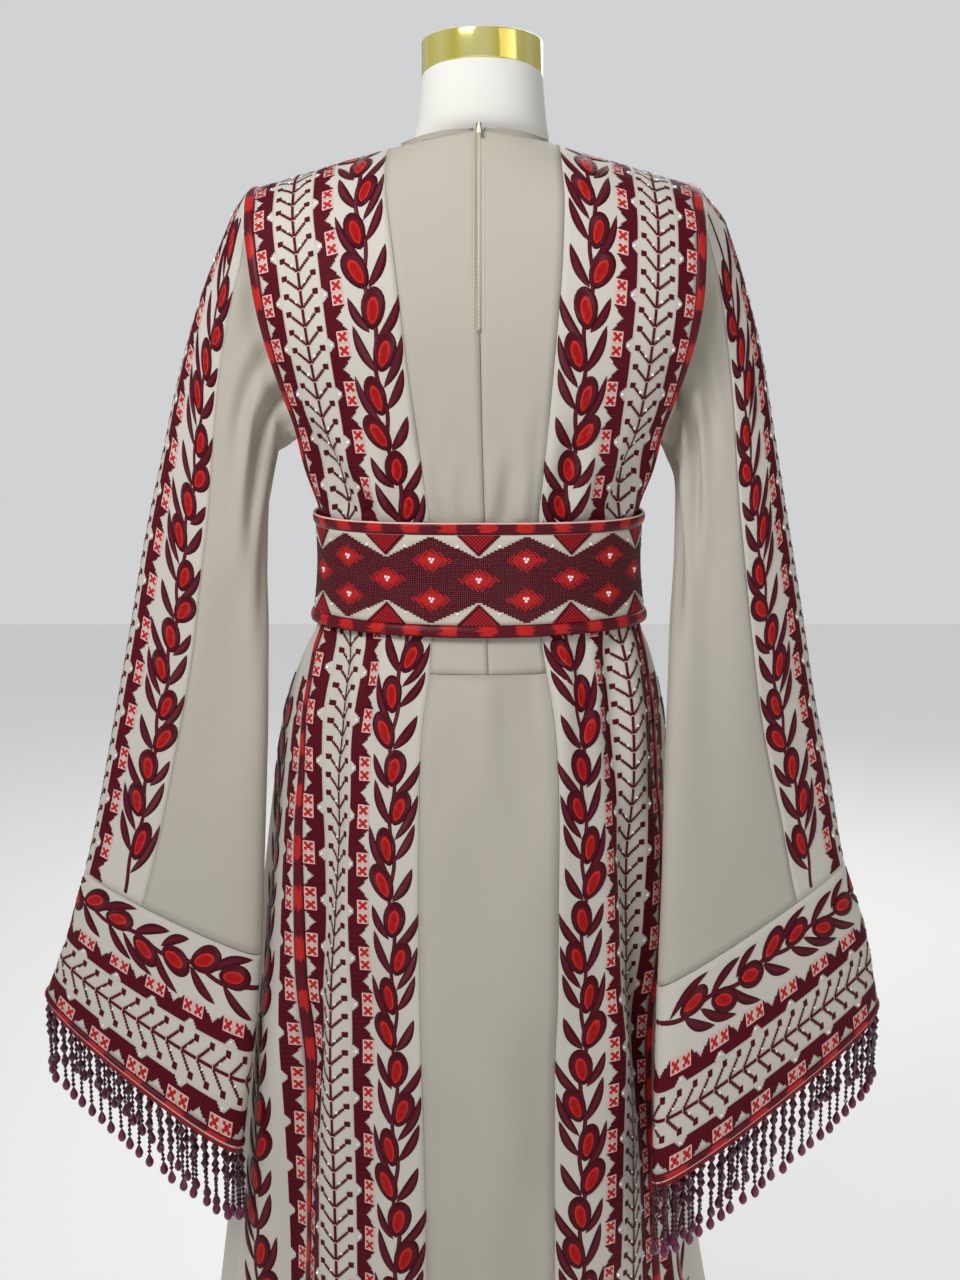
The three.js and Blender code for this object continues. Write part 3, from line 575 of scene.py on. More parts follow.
def newGroup(name, inputs):
    # inputs: every socket's name and starting value, a colour or a number
    group = bpy.data.node_groups.new(name, "ShaderNodeTree")
    for label, value in inputs.items():
        kind = "NodeSocketFloat" if isinstance(value, float) else "NodeSocketColor"
        socket = group.interface.new_socket(label, in_out="INPUT", socket_type=kind)
        socket.default_value = value if isinstance(value, float) else (*value, 1)
    group.interface.new_socket("Colour", in_out="OUTPUT", socket_type="NodeSocketColor")
    group.interface.new_socket("Height", in_out="OUTPUT", socket_type="NodeSocketFloat")
    add = nodeAdder(group)
    return group, add, add("NodeGroupInput").outputs


def makeCrepeGroup():
    # fine grain along the warp, over slow clouds of the two greys
    group, add, entry = newGroup("crepeWeave", {"Light": (0.6, 0.55, 0.47), "Dark": (0.5, 0.46, 0.39),
                                                "Grain": 900.0})
    place = add("ShaderNodeTexCoord").outputs["Object"]
    stretched = add("ShaderNodeMapping", {"Vector": place, "Scale": (1, 1, 0.55)}).outputs["Vector"]
    grain = add("ShaderNodeTexNoise", {"Vector": stretched, "Scale": entry["Grain"], "Detail": 4,
                                       "Roughness": 0.65}).outputs["Fac"]
    cloud = add("ShaderNodeTexNoise", {"Vector": place, "Scale": 7, "Detail": 3}).outputs["Fac"]
    share = compute(add, "MULTIPLY_ADD", grain, 0.45, compute(add, "MULTIPLY", cloud, 0.55))
    colour = mixColours(add, share, entry["Light"], entry["Dark"])
    add("NodeGroupOutput", {"Colour": colour, "Height": grain})
    return group


def makeThreadGroup():
    # one crossed stitch in each 0..1 tile of the piece's own map, and a speck where four of them meet
    group, add, entry = newGroup("threadStitch", {"Thread": (0.3, 0.01, 0.01), "Glint": (0.5, 0.03, 0.03),
                                                  "Speck": (1.0, 1.0, 1.0), "Speck From": 2.0})
    tile = add("ShaderNodeSeparateXYZ", {"Vector": add("ShaderNodeTexCoord").outputs["UV"]}).outputs
    offRidge = compute(add, "ABSOLUTE", compute(add, "SUBTRACT", tile["X"], tile["Y"]))
    ridge = add("ShaderNodeMapRange", {"Value": offRidge, "From Min": 0.0, "From Max": 0.34,
                                       "To Min": 1.0, "To Max": 0.0}).outputs["Result"]
    offDiagonal = compute(add, "SUBTRACT", compute(add, "ADD", tile["X"], tile["Y"]), 1.0)
    atCorner = compute(add, "GREATER_THAN", compute(add, "ABSOLUTE", offDiagonal), entry["Speck From"])
    # the diagonal ridge of each stitch is painted in the Glint colour, a painted highlight
    thread = mixColours(add, ridge, entry["Thread"], entry["Glint"])
    add("NodeGroupOutput", {"Colour": mixColours(add, atCorner, thread, entry["Speck"]), "Height": ridge})
    return group


def makeSatinGroup():
    # satin stitch: threads run across the motif, from its edge (v = 0, 1) to its middle
    group, add, entry = newGroup("satinStitch", {"Edge": (0.05, 0.002, 0.006), "Middle": (0.2, 0.007, 0.02),
                                                 "Threads": 3.5})
    place = add("ShaderNodeTexCoord").outputs["UV"]
    threads = add("ShaderNodeTexWave", {"Vector": place, "Scale": entry["Threads"], "Distortion": 1.2,
                                        "Detail": 2}, bands_direction="X").outputs["Fac"]
    across = add("ShaderNodeSeparateXYZ", {"Vector": place}).outputs["Y"]
    offMiddle = compute(add, "ABSOLUTE", compute(add, "SUBTRACT", across, 0.5))
    inside = add("ShaderNodeMapRange", {"Value": offMiddle, "From Min": 0.42, "From Max": 0.02})
    # the edge keeps the darker outline thread; the lighter middle, striped along the threads, is partly the
    # thread's own tone and partly painted sheen
    shade = compute(add, "MULTIPLY", inside.outputs["Result"], threads)
    colour = mixColours(add, shade, entry["Edge"], entry["Middle"])
    add("NodeGroupOutput", {"Colour": colour, "Height": threads})
    return group


def makePipingGroup():
    # lengthwise satin cord, dark maroon with painted red highlights whose ends fray along the threads, and
    # painted sheen streaks along its length
    group, add, entry = newGroup("highlightedPiping", {"Patch Every": 0.046, "Highlight Share": 0.42, "Width": 0.010})
    place = add("ShaderNodeTexCoord").outputs["UV"]
    strip = add("ShaderNodeSeparateXYZ", {"Vector": place}).outputs
    stretched = add("ShaderNodeMapping", {"Vector": place, "Scale": (900, 45, 1)}).outputs["Vector"]
    fray = add("ShaderNodeTexNoise", {"Vector": stretched, "Scale": 1, "Detail": 2}).outputs["Fac"]
    run = compute(add, "DIVIDE", compute(add, "MULTIPLY_ADD", fray, 0.020, strip["Y"]), entry["Patch Every"])
    highlight = compute(add, "LESS_THAN", compute(add, "FRACT", run), entry["Highlight Share"])
    # the painted highlight stays off the strip's two edges
    offMiddle = compute(add, "SUBTRACT", compute(add, "DIVIDE", strip["X"], entry["Width"]), 0.5)
    core = add("ShaderNodeMapRange", {"Value": compute(add, "ABSOLUTE", offMiddle), "From Min": 0.46,
                                      "From Max": 0.30}).outputs["Result"]
    # each colour runs in lengthwise streaks from its own tone to a lighter one, a painted sheen
    dark = mixColours(add, fray, (0.035, 0.0022, 0.0060), (0.170, 0.0060, 0.0170))
    redHighlight = mixColours(add, fray, (0.28, 0.0060, 0.0080), (0.70, 0.0250, 0.0180))
    colour = mixColours(add, compute(add, "MULTIPLY", highlight, core), dark, redHighlight)
    add("NodeGroupOutput", {"Colour": colour, "Height": fray})
    return group


def makeGrainGroup():
    # fine grain between two tones, for linen, metal, glass and thread
    group, add, entry = newGroup("fineGrain", {"Light": (0.8, 0.8, 0.8), "Dark": (0.6, 0.6, 0.6),
                                               "Grain": 300.0})
    place = add("ShaderNodeTexCoord").outputs["Object"]
    grain = add("ShaderNodeTexNoise", {"Vector": place, "Scale": entry["Grain"], "Detail": 3}).outputs["Fac"]
    add("NodeGroupOutput", {"Colour": mixColours(add, grain, entry["Light"], entry["Dark"]), "Height": grain})
    return group


crepeGroup = makeCrepeGroup()
threadGroup = makeThreadGroup()
satinGroup = makeSatinGroup()
pipingGroup = makePipingGroup()
grainGroup = makeGrainGroup()


def newMaterial(name, roughness, metallic=0.0, sheen=0.0, coat=0.0, specular=0.5):
    material = bpy.data.materials.new(name)
    material.use_nodes = True
    shader = material.node_tree.nodes["Principled BSDF"]
    shader.inputs["Roughness"].default_value = roughness
    shader.inputs["Metallic"].default_value = metallic
    shader.inputs["Sheen Weight"].default_value = sheen
    shader.inputs["Sheen Roughness"].default_value = 0.4
    shader.inputs["Coat Weight"].default_value = coat
    shader.inputs["Specular IOR Level"].default_value = specular
    return material


def groupMaterial(name, group, values, bump, bumpDepth=0.0004, **shine):
    # the group gives colour and height, while the shader and its bump stay in the material
    material = newMaterial(name, **shine)
    tree = material.node_tree
    add = nodeAdder(tree)
    effect = add("ShaderNodeGroup", values, node_tree=group)
    relief = add("ShaderNodeBump", {"Strength": bump, "Distance": bumpDepth,
                                    "Height": effect.outputs["Height"]})
    shader = tree.nodes["Principled BSDF"]
    tree.links.new(effect.outputs["Colour"], shader.inputs["Base Color"])
    tree.links.new(relief.outputs["Normal"], shader.inputs["Normal"])
    return material


def crepeMaterial(name, light, dark, sheen=0.25):
    return groupMaterial(name, crepeGroup, {"Light": light, "Dark": dark}, 0.25, 0.0006, roughness=0.72,
                         sheen=sheen, specular=0.3)


def threadMaterial(name, thread, glint, speck=None):
    values = {"Thread": thread, "Glint": glint}
    if speck is not None:
        values.update({"Speck": speck, "Speck From": 0.74})
    return groupMaterial(name, threadGroup, values, 0.6, 0.0005, roughness=0.55, specular=0.08)


def satinMaterial(name, edge, middle):
    return groupMaterial(name, satinGroup, {"Edge": edge, "Middle": middle}, 0.5, roughness=0.36,
                         specular=0.14)


def pipingMaterial(name, highlightEvery, width):
    values = {"Patch Every": highlightEvery * mm, "Width": width * mm}
    return groupMaterial(name, pipingGroup, values, 0.5, roughness=0.42, specular=0.18)


def grainedMaterial(name, light, dark, grain, bump, roughness, **shine):
    return groupMaterial(name, grainGroup, {"Light": light, "Dark": dark, "Grain": grain}, bump,
                         roughness=roughness, **shine)


crepe = crepeMaterial("greigeCrepe", (0.515, 0.478, 0.408), (0.438, 0.404, 0.340))
bandCrepe = crepeMaterial("bandCrepe", (0.635, 0.600, 0.535), (0.545, 0.510, 0.450))
redLining = crepeMaterial("redLining", (0.34, 0.006, 0.009), (0.24, 0.004, 0.007), sheen=0.1)
beltGround = crepeMaterial("beltGround", (0.62, 0.57, 0.48), (0.52, 0.475, 0.395))
# each thread's second colour is the painted highlight on its stitches' ridges
threadMaroon = threadMaterial("threadMaroon", (0.016, 0.0014, 0.0035), (0.310, 0.014, 0.036))
threadSpeckled = threadMaterial("threadSpeckled", (0.050, 0.0030, 0.0085), (0.130, 0.008, 0.020),
                                speck=(0.52, 0.20, 0.19))
threadRed = threadMaterial("threadRed", (0.44, 0.010, 0.013), (0.64, 0.036, 0.032))
threadPink = threadMaterial("threadPink", (0.78, 0.50, 0.44), (0.82, 0.62, 0.56))
threadOrange = threadMaterial("threadOrange", (0.48, 0.017, 0.013), (0.68, 0.052, 0.034))
threadCream = threadMaterial("threadCream", (0.76, 0.65, 0.57), (0.84, 0.75, 0.67))
# satin: a darker outline colour at the edge, and a lighter middle that is partly painted sheen
leafSatin = satinMaterial("leafSatin", (0.034, 0.0018, 0.0056), (0.260, 0.0095, 0.0400))
oliveSatin = satinMaterial("oliveSatin", (0.046, 0.0018, 0.0056), (0.200, 0.0065, 0.0220))
redSatin = satinMaterial("redSatin", (0.42, 0.0045, 0.0050), (0.60, 0.0110, 0.0090))
orangeSatin = satinMaterial("orangeSatin", (0.56, 0.016, 0.011), (0.76, 0.046, 0.026))
# piping: dark satin cord with painted red highlights every 46 or 33 mm and painted sheen streaks
bandPiping = pipingMaterial("bandPiping", 46, 10)
beltPiping = pipingMaterial("beltPiping", 33, 12)
linen = grainedMaterial("whiteLinen", (0.86, 0.85, 0.81), (0.74, 0.73, 0.68), 1400, 0.5, 0.85, sheen=0.2)
steel = grainedMaterial("brushedSteel", (0.62, 0.62, 0.62), (0.50, 0.50, 0.50), 300, 0.1, 0.32, metallic=1.0)
zipMetal = grainedMaterial("paleZipMetal", (0.82, 0.76, 0.60), (0.72, 0.66, 0.50), 200, 0.05, 0.25,
                           metallic=1.0)
coilNylon = grainedMaterial("coilNylon", (0.90, 0.83, 0.68), (0.74, 0.66, 0.50), 900, 0.3, 0.5)
plumGlass = grainedMaterial("plumGlass", (0.026, 0.0050, 0.0105), (0.080, 0.0120, 0.0320), 240, 0.05, 0.22,
                            coat=0.25, specular=0.35)
dropGlass = grainedMaterial("dropGlass", (0.105, 0.0110, 0.0420), (0.170, 0.0200, 0.0760), 120, 0.05, 0.20,
                            coat=0.3, specular=0.4)
crystal = grainedMaterial("crystal", (0.97, 0.97, 0.97), (0.86, 0.90, 0.92), 500, 0.05, 0.12, coat=1.0,
                          specular=1.0)
pullEnamel = grainedMaterial("creamPullEnamel", (0.93, 0.87, 0.70), (0.84, 0.78, 0.60), 160, 0.05, 0.30,
                             coat=0.5)
sliderSteel = grainedMaterial("darkSliderSteel", (0.34, 0.33, 0.30), (0.22, 0.21, 0.19), 200, 0.05, 0.30,
                              metallic=1.0)
creamThread = grainedMaterial("creamSewingThread", (0.72, 0.62, 0.46), (0.60, 0.52, 0.38), 900, 0.2, 0.6)


def goldMaterial():
    # polished metal: light and dark upright streaks, painted reflections of the room, stand round the disc
    material = newMaterial("polishedGold", roughness=0.12, metallic=0.72)
    tree = material.node_tree
    add = nodeAdder(tree)
    place = add("ShaderNodeTexCoord").outputs["Object"]
    stretched = add("ShaderNodeMapping", {"Vector": place, "Scale": (1, 1, 0.05)}).outputs["Vector"]
    reflectionStreaks = add("ShaderNodeTexNoise", {"Vector": stretched, "Scale": 42, "Detail": 1}).outputs["Fac"]
    ramp = add("ShaderNodeValToRGB", {"Fac": reflectionStreaks})
    dark, light = ramp.color_ramp.elements
    dark.position, light.position = 0.30, 0.54
    dark.color = (0.62, 0.48, 0.06, 1)
    light.color = (0.98, 0.92, 0.36, 1)
    middle = ramp.color_ramp.elements.new(0.40)
    middle.color = (0.90, 0.79, 0.18, 1)
    tree.links.new(ramp.outputs["Color"], tree.nodes["Principled BSDF"].inputs["Base Color"])
    return material


gold = goldMaterial()
print("materials ready")


# ---- charts for the cross stitch: D maroon, B its lone stitches, R red, P pink, W cream

def borderChart():
    # one repeat of teeth and a pair of squares, column 0 beside the olive strip
    rows = []
    for row in range(13):
        first = int(0.8 * min(row, 12 - row) + 0.4)
        rows.append("." * first + "D" * (11 - first))
    square = ("PPPPPP", "PXPPXP", "PPXXPP", "PPXXPP", "PXPPXP", "PPPPPP")
    darkEnd = (11, 11, 11, 10, 9, 8)
    for step in range(6):
        rows.append((square[step] + "D" * (darkEnd[step] - 6)).ljust(11, "."))
    rows.append("......DD...")
    for step in range(6):
        rows.append((square[step] + "D" * (darkEnd[5 - step] - 6)).ljust(11, "."))
    return rows


def branchChart():
    # one chevron of the branch: ten rows, stem in column 10
    rows = [["."] * 21 for _ in range(10)]
    for row in range(10):
        rows[row][10] = "B"
    rows[0][10] = "P"
    for step in range(1, 7):
        for side in (-1, 1):
            rows[step][10 + side * step] = "B"
    for row in (7, 8, 9):
        for step in (7, 8, 9):
            for side in (-1, 1):
                rows[row][10 + side * step] = "D"
    return ["".join(row) for row in rows]


border = borderChart()
branch = branchChart()


def bandLetters(rowCount, halfBand=False):
    # letters of the whole cross-stitch strip, from the olive side outwards, row 0 at the bottom
    letters = np.full((rowCount, 18 if halfBand else 45), ".", dtype="<U1")
    for row in range(rowCount):
        edge = border[row % len(border)]
        letters[row, 0:11] = list(edge)
        if not halfBand:
            letters[row, 11] = "W"
            letters[row, 12:33] = list(branch[row % len(branch)])
            letters[row, 33] = "W"
            letters[row, 34:45] = list(edge[::-1])
    return letters


threadSlots = {"D": 0, "X": 1, "K": 5, "B": 0, "R": 1, "P": 2, "W": 3, "O": 4}
threadMaterials = [threadMaroon, threadRed, threadPink, threadCream, threadOrange, threadSpeckled]
stitchHalf = {"X": 0.8, "D": 0.5, "K": 0.5, "B": 0.72, "R": 0.5, "P": 0.5, "W": 0.24, "O": 0.5}


def stitchMesh(name, cloth, letters, originU, originV, stepU=None, stepV=None, height=0.35, swap=False):
    # lays the chart on the cloth: columns run with u and rows with v, or the other way round
    stepU = cut["cell"] if stepU is None else stepU
    stepV = cut["cell"] if stepV is None else stepV
    row, col = np.nonzero(letters != ".")
    letter = letters[row, col]
    # a lone stitch is fuller than one that is hemmed in by its neighbours
    half = np.array([stitchHalf[kind] for kind in letter])[:, None]
    acrossCell = np.array([-1, 1, 1, -1]) * half + 0.5
    alongCell = np.array([-1, -1, 1, 1]) * half + 0.5
    first, second = col[:, None] + acrossCell, row[:, None] + alongCell
    if swap:
        first, second = second, first
    u, v = originU + first * stepU, originV + second * stepV
    raised = np.repeat(height + 0.06 * ((row * 7 + col * 3) % 3) + 0.2 * (half[:, 0] > 0.5), 4)
    points = placeOn(cloth, u.ravel(), v.ravel(), raised)
    normals = placeOn(cloth, u.ravel(), v.ravel(), raised + 1.0) - points
    faces = facingOut(np.arange(len(points)).reshape(-1, 4), points, normals)
    slots = [threadSlots[kind] for kind in letter]
    uv = np.tile(np.array([(0, 0), (1, 0), (1, 1), (0, 1)], float), (len(faces), 1))
    piece = quadMesh(name, points, faces, uv, slots)
    return finishPiece(piece, threadMaterials)


def edgeStitches(name, strip, inset, tall):
    # a row of pale stitches along a strip's outer edge
    stitch = cut["edgeStitch"]
    row = np.full((1, int(strip["across"][-1] / stitch)), "P")
    stitchMesh(name, strip, row, 0.2, strip["along"][-1] - inset, stitch, tall, height=0.2)


# ---- olive sprigs in satin stitch

def leafShape(length, width, bend):
    rows, cols = 10, 5
    t = np.linspace(0, 1, rows)
    spread = width / 2 * np.maximum(np.sin(math.pi * t ** 0.9), 0) ** 0.72
    middle = bend * np.sin(math.pi * t)
    across = np.array([-1, -0.5, 0, 0.5, 1])
    height = np.array([0.10, 1.15, 0.60, 1.15, 0.10])
    u = middle[:, None] + spread[:, None] * across[None, :]
    v = np.repeat((length * t)[:, None], cols, axis=1)
    h = height[None, :] * (0.35 + 0.65 * np.sin(math.pi * t))[:, None]
    uv = np.stack(np.meshgrid(np.linspace(0, 1, cols), t * length / 8), axis=-1)[..., ::-1]
    return np.stack([u, v, h], axis=-1).reshape(-1, 3), gridFaces(rows, cols), uv.reshape(-1, 2), 0


def oliveShape(length, width):
    # a burgundy ring, a thin bright line and a red middle
    rings = [(1.0, 0.10), (0.90, 1.00), (0.68, 0.95), (0.46, 0.75), (0.43, 1.10), (0.34, 1.20), (0.02, 1.05)]
    innerFrom, innerMiddle, innerLonger = 0.6, 0.44, 1.42
    count = 20
    turn = np.linspace(0, 2 * math.pi, count, endpoint=False)
    points = []
    for share, height in rings:
        inner = share < innerFrom
        long = length / 2 * share * (innerLonger if inner else 1)
        u = width / 2 * share * signedPower(np.sin(turn), 1.1) * (1 - 0.13 * np.cos(turn))
        middle = length * (innerMiddle if inner else 0.5)
        points.append(np.stack([u, middle - long * np.cos(turn), np.full(count, height)], axis=-1))
    faces = gridFaces(len(rings), count, ring=True)
    uv = np.stack(np.meshgrid(np.linspace(0, 7, count), np.linspace(0, 1, len(rings))), axis=-1)
    slots = np.repeat([1, 1, 1, 3, 3, 2], count)
    return np.array(points).reshape(-1, 3), faces, uv.reshape(-1, 2), slots


# one repeat of the sprig; each leaf and olive has its base u v, lean in degrees (to +u), length and width,
# and a leaf also its bend
sprig = {
    "repeat": 132.0, "stemMiddle": 21.6, "stemSway": 2.3, "stemStart": 0.14, "stemHalf": 1.8, "stemStep": 4.0,
    "leaves": [(22, 0, 31, 36, 8.8, 2.6), (20, 20, -23, 49, 7.4, -4.0), (24.5, 36, 28, 38, 8.0, 2.4),
               (24, 54, 27, 46, 7.6, 3.4), (20, 66, -21, 42, 8.6, -2.6), (22.5, 90, 36, 42, 8.0, 3.6),
               (18.5, 98, -27, 33, 7.8, -2.4)],
    "olives": [(20, 0, -25, 35, 20.0), (19.5, 31, -11, 34, 18.0), (23, 67, 20, 33, 19.0),
               (20.5, 100, 11, 33, 20.5)],
}


def stemPath(v):
    turns = 2 * (v / sprig["repeat"] - sprig["stemStart"])
    return sprig["stemMiddle"] + sprig["stemSway"] * np.sin(2 * math.pi * turns)


def sprigMesh(name, cloth, originU, flip, v0, v1, swap=False):
    # flip runs the sprig from the seam side, swap lays it round a cuff
    pieces = []
    repeatLength = sprig["repeat"]

    def put(shape, u, v, lean):
        local, faces, uv, slots = shape
        a = math.radians(lean)
        du = local[:, 0] * math.cos(a) + local[:, 1] * math.sin(a)
        dv = -local[:, 0] * math.sin(a) + local[:, 1] * math.cos(a)
        pieces.append((np.stack([u + du, v + dv, local[:, 2]], axis=-1), faces, uv, slots))

    def fits(v, length):
        return v0 + 1 < v and v + length < v1 - 1

    for repeat in range(math.floor(v0 / repeatLength) - 1, math.ceil(v1 / repeatLength) + 1):
        start = repeat * repeatLength
        for u, v, lean, length, wide, bend in sprig["leaves"]:
            if fits(v + start, length):
                put(leafShape(length, wide, bend), u, v + start, lean)
        for u, v, lean, length, wide in sprig["olives"]:
            if fits(v + start, length):
                put(oliveShape(length, wide), u, v + start, lean)
    v = np.arange(v0, v1, sprig["stemStep"])
    across = np.array([-1, 0, 1]) * sprig["stemHalf"]
    stem = np.stack([stemPath(v)[:, None] + across[None, :], np.repeat(v[:, None], 3, axis=1),
                     np.repeat(np.array([[0.1, 0.75, 0.1]]), len(v), axis=0)], axis=-1)
    stemUv = np.stack(np.meshgrid(np.linspace(0, 1, 3), v / 20), axis=-1)[..., ::-1]
    pieces.append((stem.reshape(-1, 3), gridFaces(len(v), 3), stemUv.reshape(-1, 2), 0))

    vertices, faces, uvs, slots, start = [], [], [], [], 0
    for local, face, uv, slot in pieces:
        u = originU + (cut["oliveWidth"] - local[:, 0] if flip else local[:, 0])
        first, second = (local[:, 1], u) if swap else (u, local[:, 1])
        vertices.append(placeOn(cloth, first, second, local[:, 2] + 0.1))
        faces.append(face + start)
        uvs.append(uv[face.ravel()])
        slots.append(np.full(len(face), slot) if np.isscalar(slot) else slot)
        start += len(local)
    vertices, faces = np.concatenate(vertices), np.concatenate(faces)
    uvs, slots = np.concatenate(uvs), np.concatenate(slots)
    # every shape faces the same way, so one test turns them all
    a, b, d = (vertices[faces[:, i]] for i in (0, 1, 3))
    lean = np.cross(b - a, d - a)
    if swap:
        away = vertices[faces[:, 0]] - vertices.mean(axis=0)
        outward = np.einsum("ij,ij->i", lean, away * np.array([1, 1, 0])).sum()
    else:
        u, v = np.array([cloth["across"].mean()]), np.array([cloth["along"].mean()])
        up = placeOn(cloth, u, v, np.array([1.0])) - placeOn(cloth, u, v, np.array([0.0]))
        outward = (lean @ up[0]).sum()
    piece = quadMesh(name, vertices, faces, uvs, slots)
    if outward < 0:
        piece.data.flip_normals()
    return finishPiece(piece, [leafSatin, oliveSatin, redSatin, orangeSatin])


# ---- crystals, modelled once and copied

def crystalUnit():
    clearSelection()
    bpy.ops.mesh.primitive_cone_add(vertices=7, radius1=1.5, radius2=0.8, depth=1.0)
    return takeUnit()


crystalShape = crystalUnit()


def placeUnits(name, cloth, u, v, unit, material, height=0.75):
    u, v = np.asarray(u, float), np.asarray(v, float)
    unitPoints, unitFaces = unit
    base = placeOn(cloth, u, v, np.full(len(u), height))
    up = placeOn(cloth, u, v, np.full(len(u), height + 1.0)) - base
    side = np.cross(up, np.array([0.0, 0.3, 1.0]))
    side /= np.linalg.norm(side, axis=1, keepdims=True)
    other = np.cross(up, side)
    vertices, faces, start = [], [], 0
    for i in range(len(u)):
        turned = unitPoints @ np.array([side[i], other[i], up[i]])
        vertices.extend(((base[i] + turned) * mm).tolist())
        faces.extend([[index + start for index in face] for face in unitFaces])
        start += len(unitPoints)
    return finishPiece(linkMesh(name, vertices, faces), [material])


def crystalMesh(name, cloth, u, v):
    return placeUnits(name, cloth, u, v, crystalShape, crystal)


def bandCrystals(length, originU):
    # one beside each chevron, left and right in turn, and one in each notch of both borders
    spots = []
    for index in range(int(length / (len(branch) * cut["cell"]))):
        side = -1 if index % 2 else 1
        spots.append((22.5 + 2.9 * side, index * len(branch) + 4.9))
    for index in range(int(length / (len(border) * cut["cell"]))):
        for column in (9.3, 35.7):
            spots.append((column, index * len(border) + 19.5))
    u, v = np.array(spots).T * cut["cell"]
    keep = v < length - 3
    return originU + u[keep], v[keep]


# ---- body panels

sides = (("left", -1), ("right", 1))
seamGap = 0.15


def evenRows(k0, k1, spacing, arcAt):
    # rows that lie an even distance apart along a line of the body
    k = np.linspace(k0, k1, 260)
    line = np.array([bodyRow(value, np.array([arcAt(value)]))[0] for value in k])
    runs = runningLength(line)
    count = max(int(runs[-1] / spacing), 2)
    return np.interp(np.linspace(0, runs[-1], count + 1), runs, k)


def neckRow(k, f, dip):
    # rows above the shoulder blades bend down to the neckline
    base = cut["neckFrom"]
    if k <= base:
        return np.full(len(f), k)
    top = cut["ridgeRow"] - dip * np.sqrt(np.maximum(0, 1 - f * f))
    return base + (k - base) * (top - base) / (cut["ridgeRow"] - base)


def centrePanel(kRows, f, face):
    dip = cut["backNeckRows"] if face == "back" else cut["frontNeckRows"]
    points = np.empty((len(kRows), len(f), 3))
    for i, k in enumerate(kRows):
        for j, kLocal in enumerate(neckRow(k, f, dip)):
            sign = -1 if f[j] < 0 else 1
            lines = seamLines(kLocal, sign)
            if face == "back":
                zipLine = max(lines["shift"], 0)
                reach = lines["seam"] + (lines["shift"] - zipLine) * np.sign(f[j]) - seamGap
                arc = zipLine + f[j] * reach
            else:
                reach = lines["half"] - lines["frontSeam"] - seamGap
                arc = sign * (lines["half"] - abs(f[j]) * reach)
            points[i, j] = bodyRow(kLocal, np.array([arc]))[0]
    return points


def bandPanel(kRows, u, sign, face):
    points = np.empty((len(kRows), len(u), 3))
    for i, k in enumerate(kRows):
        lines = seamLines(k, sign)
        arc = lines["backSeam"] + u if face == "back" else lines["frontSeam"] - u
        points[i] = bodyRow(k, sign * arc)
    return points


def sidePanel(kRows, f, sign):
    points = np.empty((len(kRows), len(f), 3))
    for i, k in enumerate(kRows):
        lines = seamLines(k, sign)
        start = lines["backOuter"] + cut["pipingWidth"] + seamGap
        end = lines["frontOuter"] - cut["pipingWidth"] - seamGap
        points[i] = bodyRow(k, sign * (start + (end - start) * f))
    return points


bodyInside = np.array([0.0, 0.0, 900.0])


def makeBody():
    skirtRows = evenRows(0, cut["waistSeamRow"] - 0.012, 12, lambda k: 0)
    f = np.linspace(-1, 1, 13)
    cloth = clothMap(centrePanel(skirtRows, f, "back"), f * 58, bodyInside, bodyCreases)
    piece = sewPanel("skirtBackCentre", cloth, crepe, ["skirt_back_centre"])
    bodiceRows = evenRows(cut["waistSeamRow"], cut["ridgeRow"], 7, lambda k: 20)
    for side, sign in sides:
        f = sign * np.linspace(0.004, 1, 11)
        cloth = clothMap(centrePanel(bodiceRows, f, "back"), np.abs(f) * 60, bodyInside, bodyCreases)
        piece = sewPanel(f"backBodice{side.capitalize()}", cloth, crepe, [f"back_bodice_{side}"])
    frontRows = evenRows(0, cut["ridgeRow"], 10, lambda k: 300 if k < 9 else 100)
    f = np.linspace(-1, 1, 17)
    cloth = clothMap(centrePanel(frontRows, f, "front"), f * 60, bodyInside, bodyCreases)
    piece = sewPanel("frontCentre", cloth, crepe, ["front_centre"])
    for side, sign in sides:
        for face in ("back", "front"):
            makeBand(side, sign, face)
        makeSide(side, sign)
        makePiping(side, sign)
    print("body panels sewn")


def makeBand(side, sign, face):
    u = np.linspace(seamGap, cut["bandWidth"] - seamGap, 24)
    rows = evenRows(0, cut["ridgeRow"], 7, lambda k: sign * seamLines(k, sign)[f"{face}Seam"])
    cloth = clothMap(bandPanel(rows, u, sign, face), u, bodyInside, bodyCreases)
    name = f"{face}Band{side.capitalize()}"
    piece = sewPanel(name, cloth, bandCrepe, [f"{face}_band_{side}"])
    length = cloth["along"][-1]
    rowCount = int(length / cut["cell"])
    stitchMesh(f"{name}CrossStitch", cloth, bandLetters(rowCount), cut["oliveWidth"], 0.5)
    sprigMesh(f"{name}Olives", cloth, 0, True, 4, length - 4)
    crystalMesh(f"{name}Crystals", cloth, *bandCrystals(length, cut["oliveWidth"]))


def makeSide(side, sign):
    rows = evenRows(0, cut["sideSeamRow"] - 0.012, 12, lambda k: sign * seamLines(k, sign)["half"] / 2)
    f = np.linspace(0, 1, 61)
    cloth = clothMap(sidePanel(rows, f, sign), f * 470, bodyInside, bodyCreases)
    piece = sewPanel(f"skirtSide{side.capitalize()}", cloth, bandCrepe,
                     [f"skirt_side_{side}"])
    for face in ("back", "front"):
        makeSideBorder(side, sign, face)
    rows = evenRows(cut["sideSeamRow"], cut["armpitRow"], 7, lambda k: sign * seamLines(k, sign)["half"] / 2)
    f = np.linspace(0, 1, 12)
    cloth = clothMap(sidePanel(rows, f, sign), f * 60, bodyInside, bodyCreases)
    piece = sewPanel(f"sideBodice{side.capitalize()}", cloth, crepe, [f"side_bodice_{side}"])


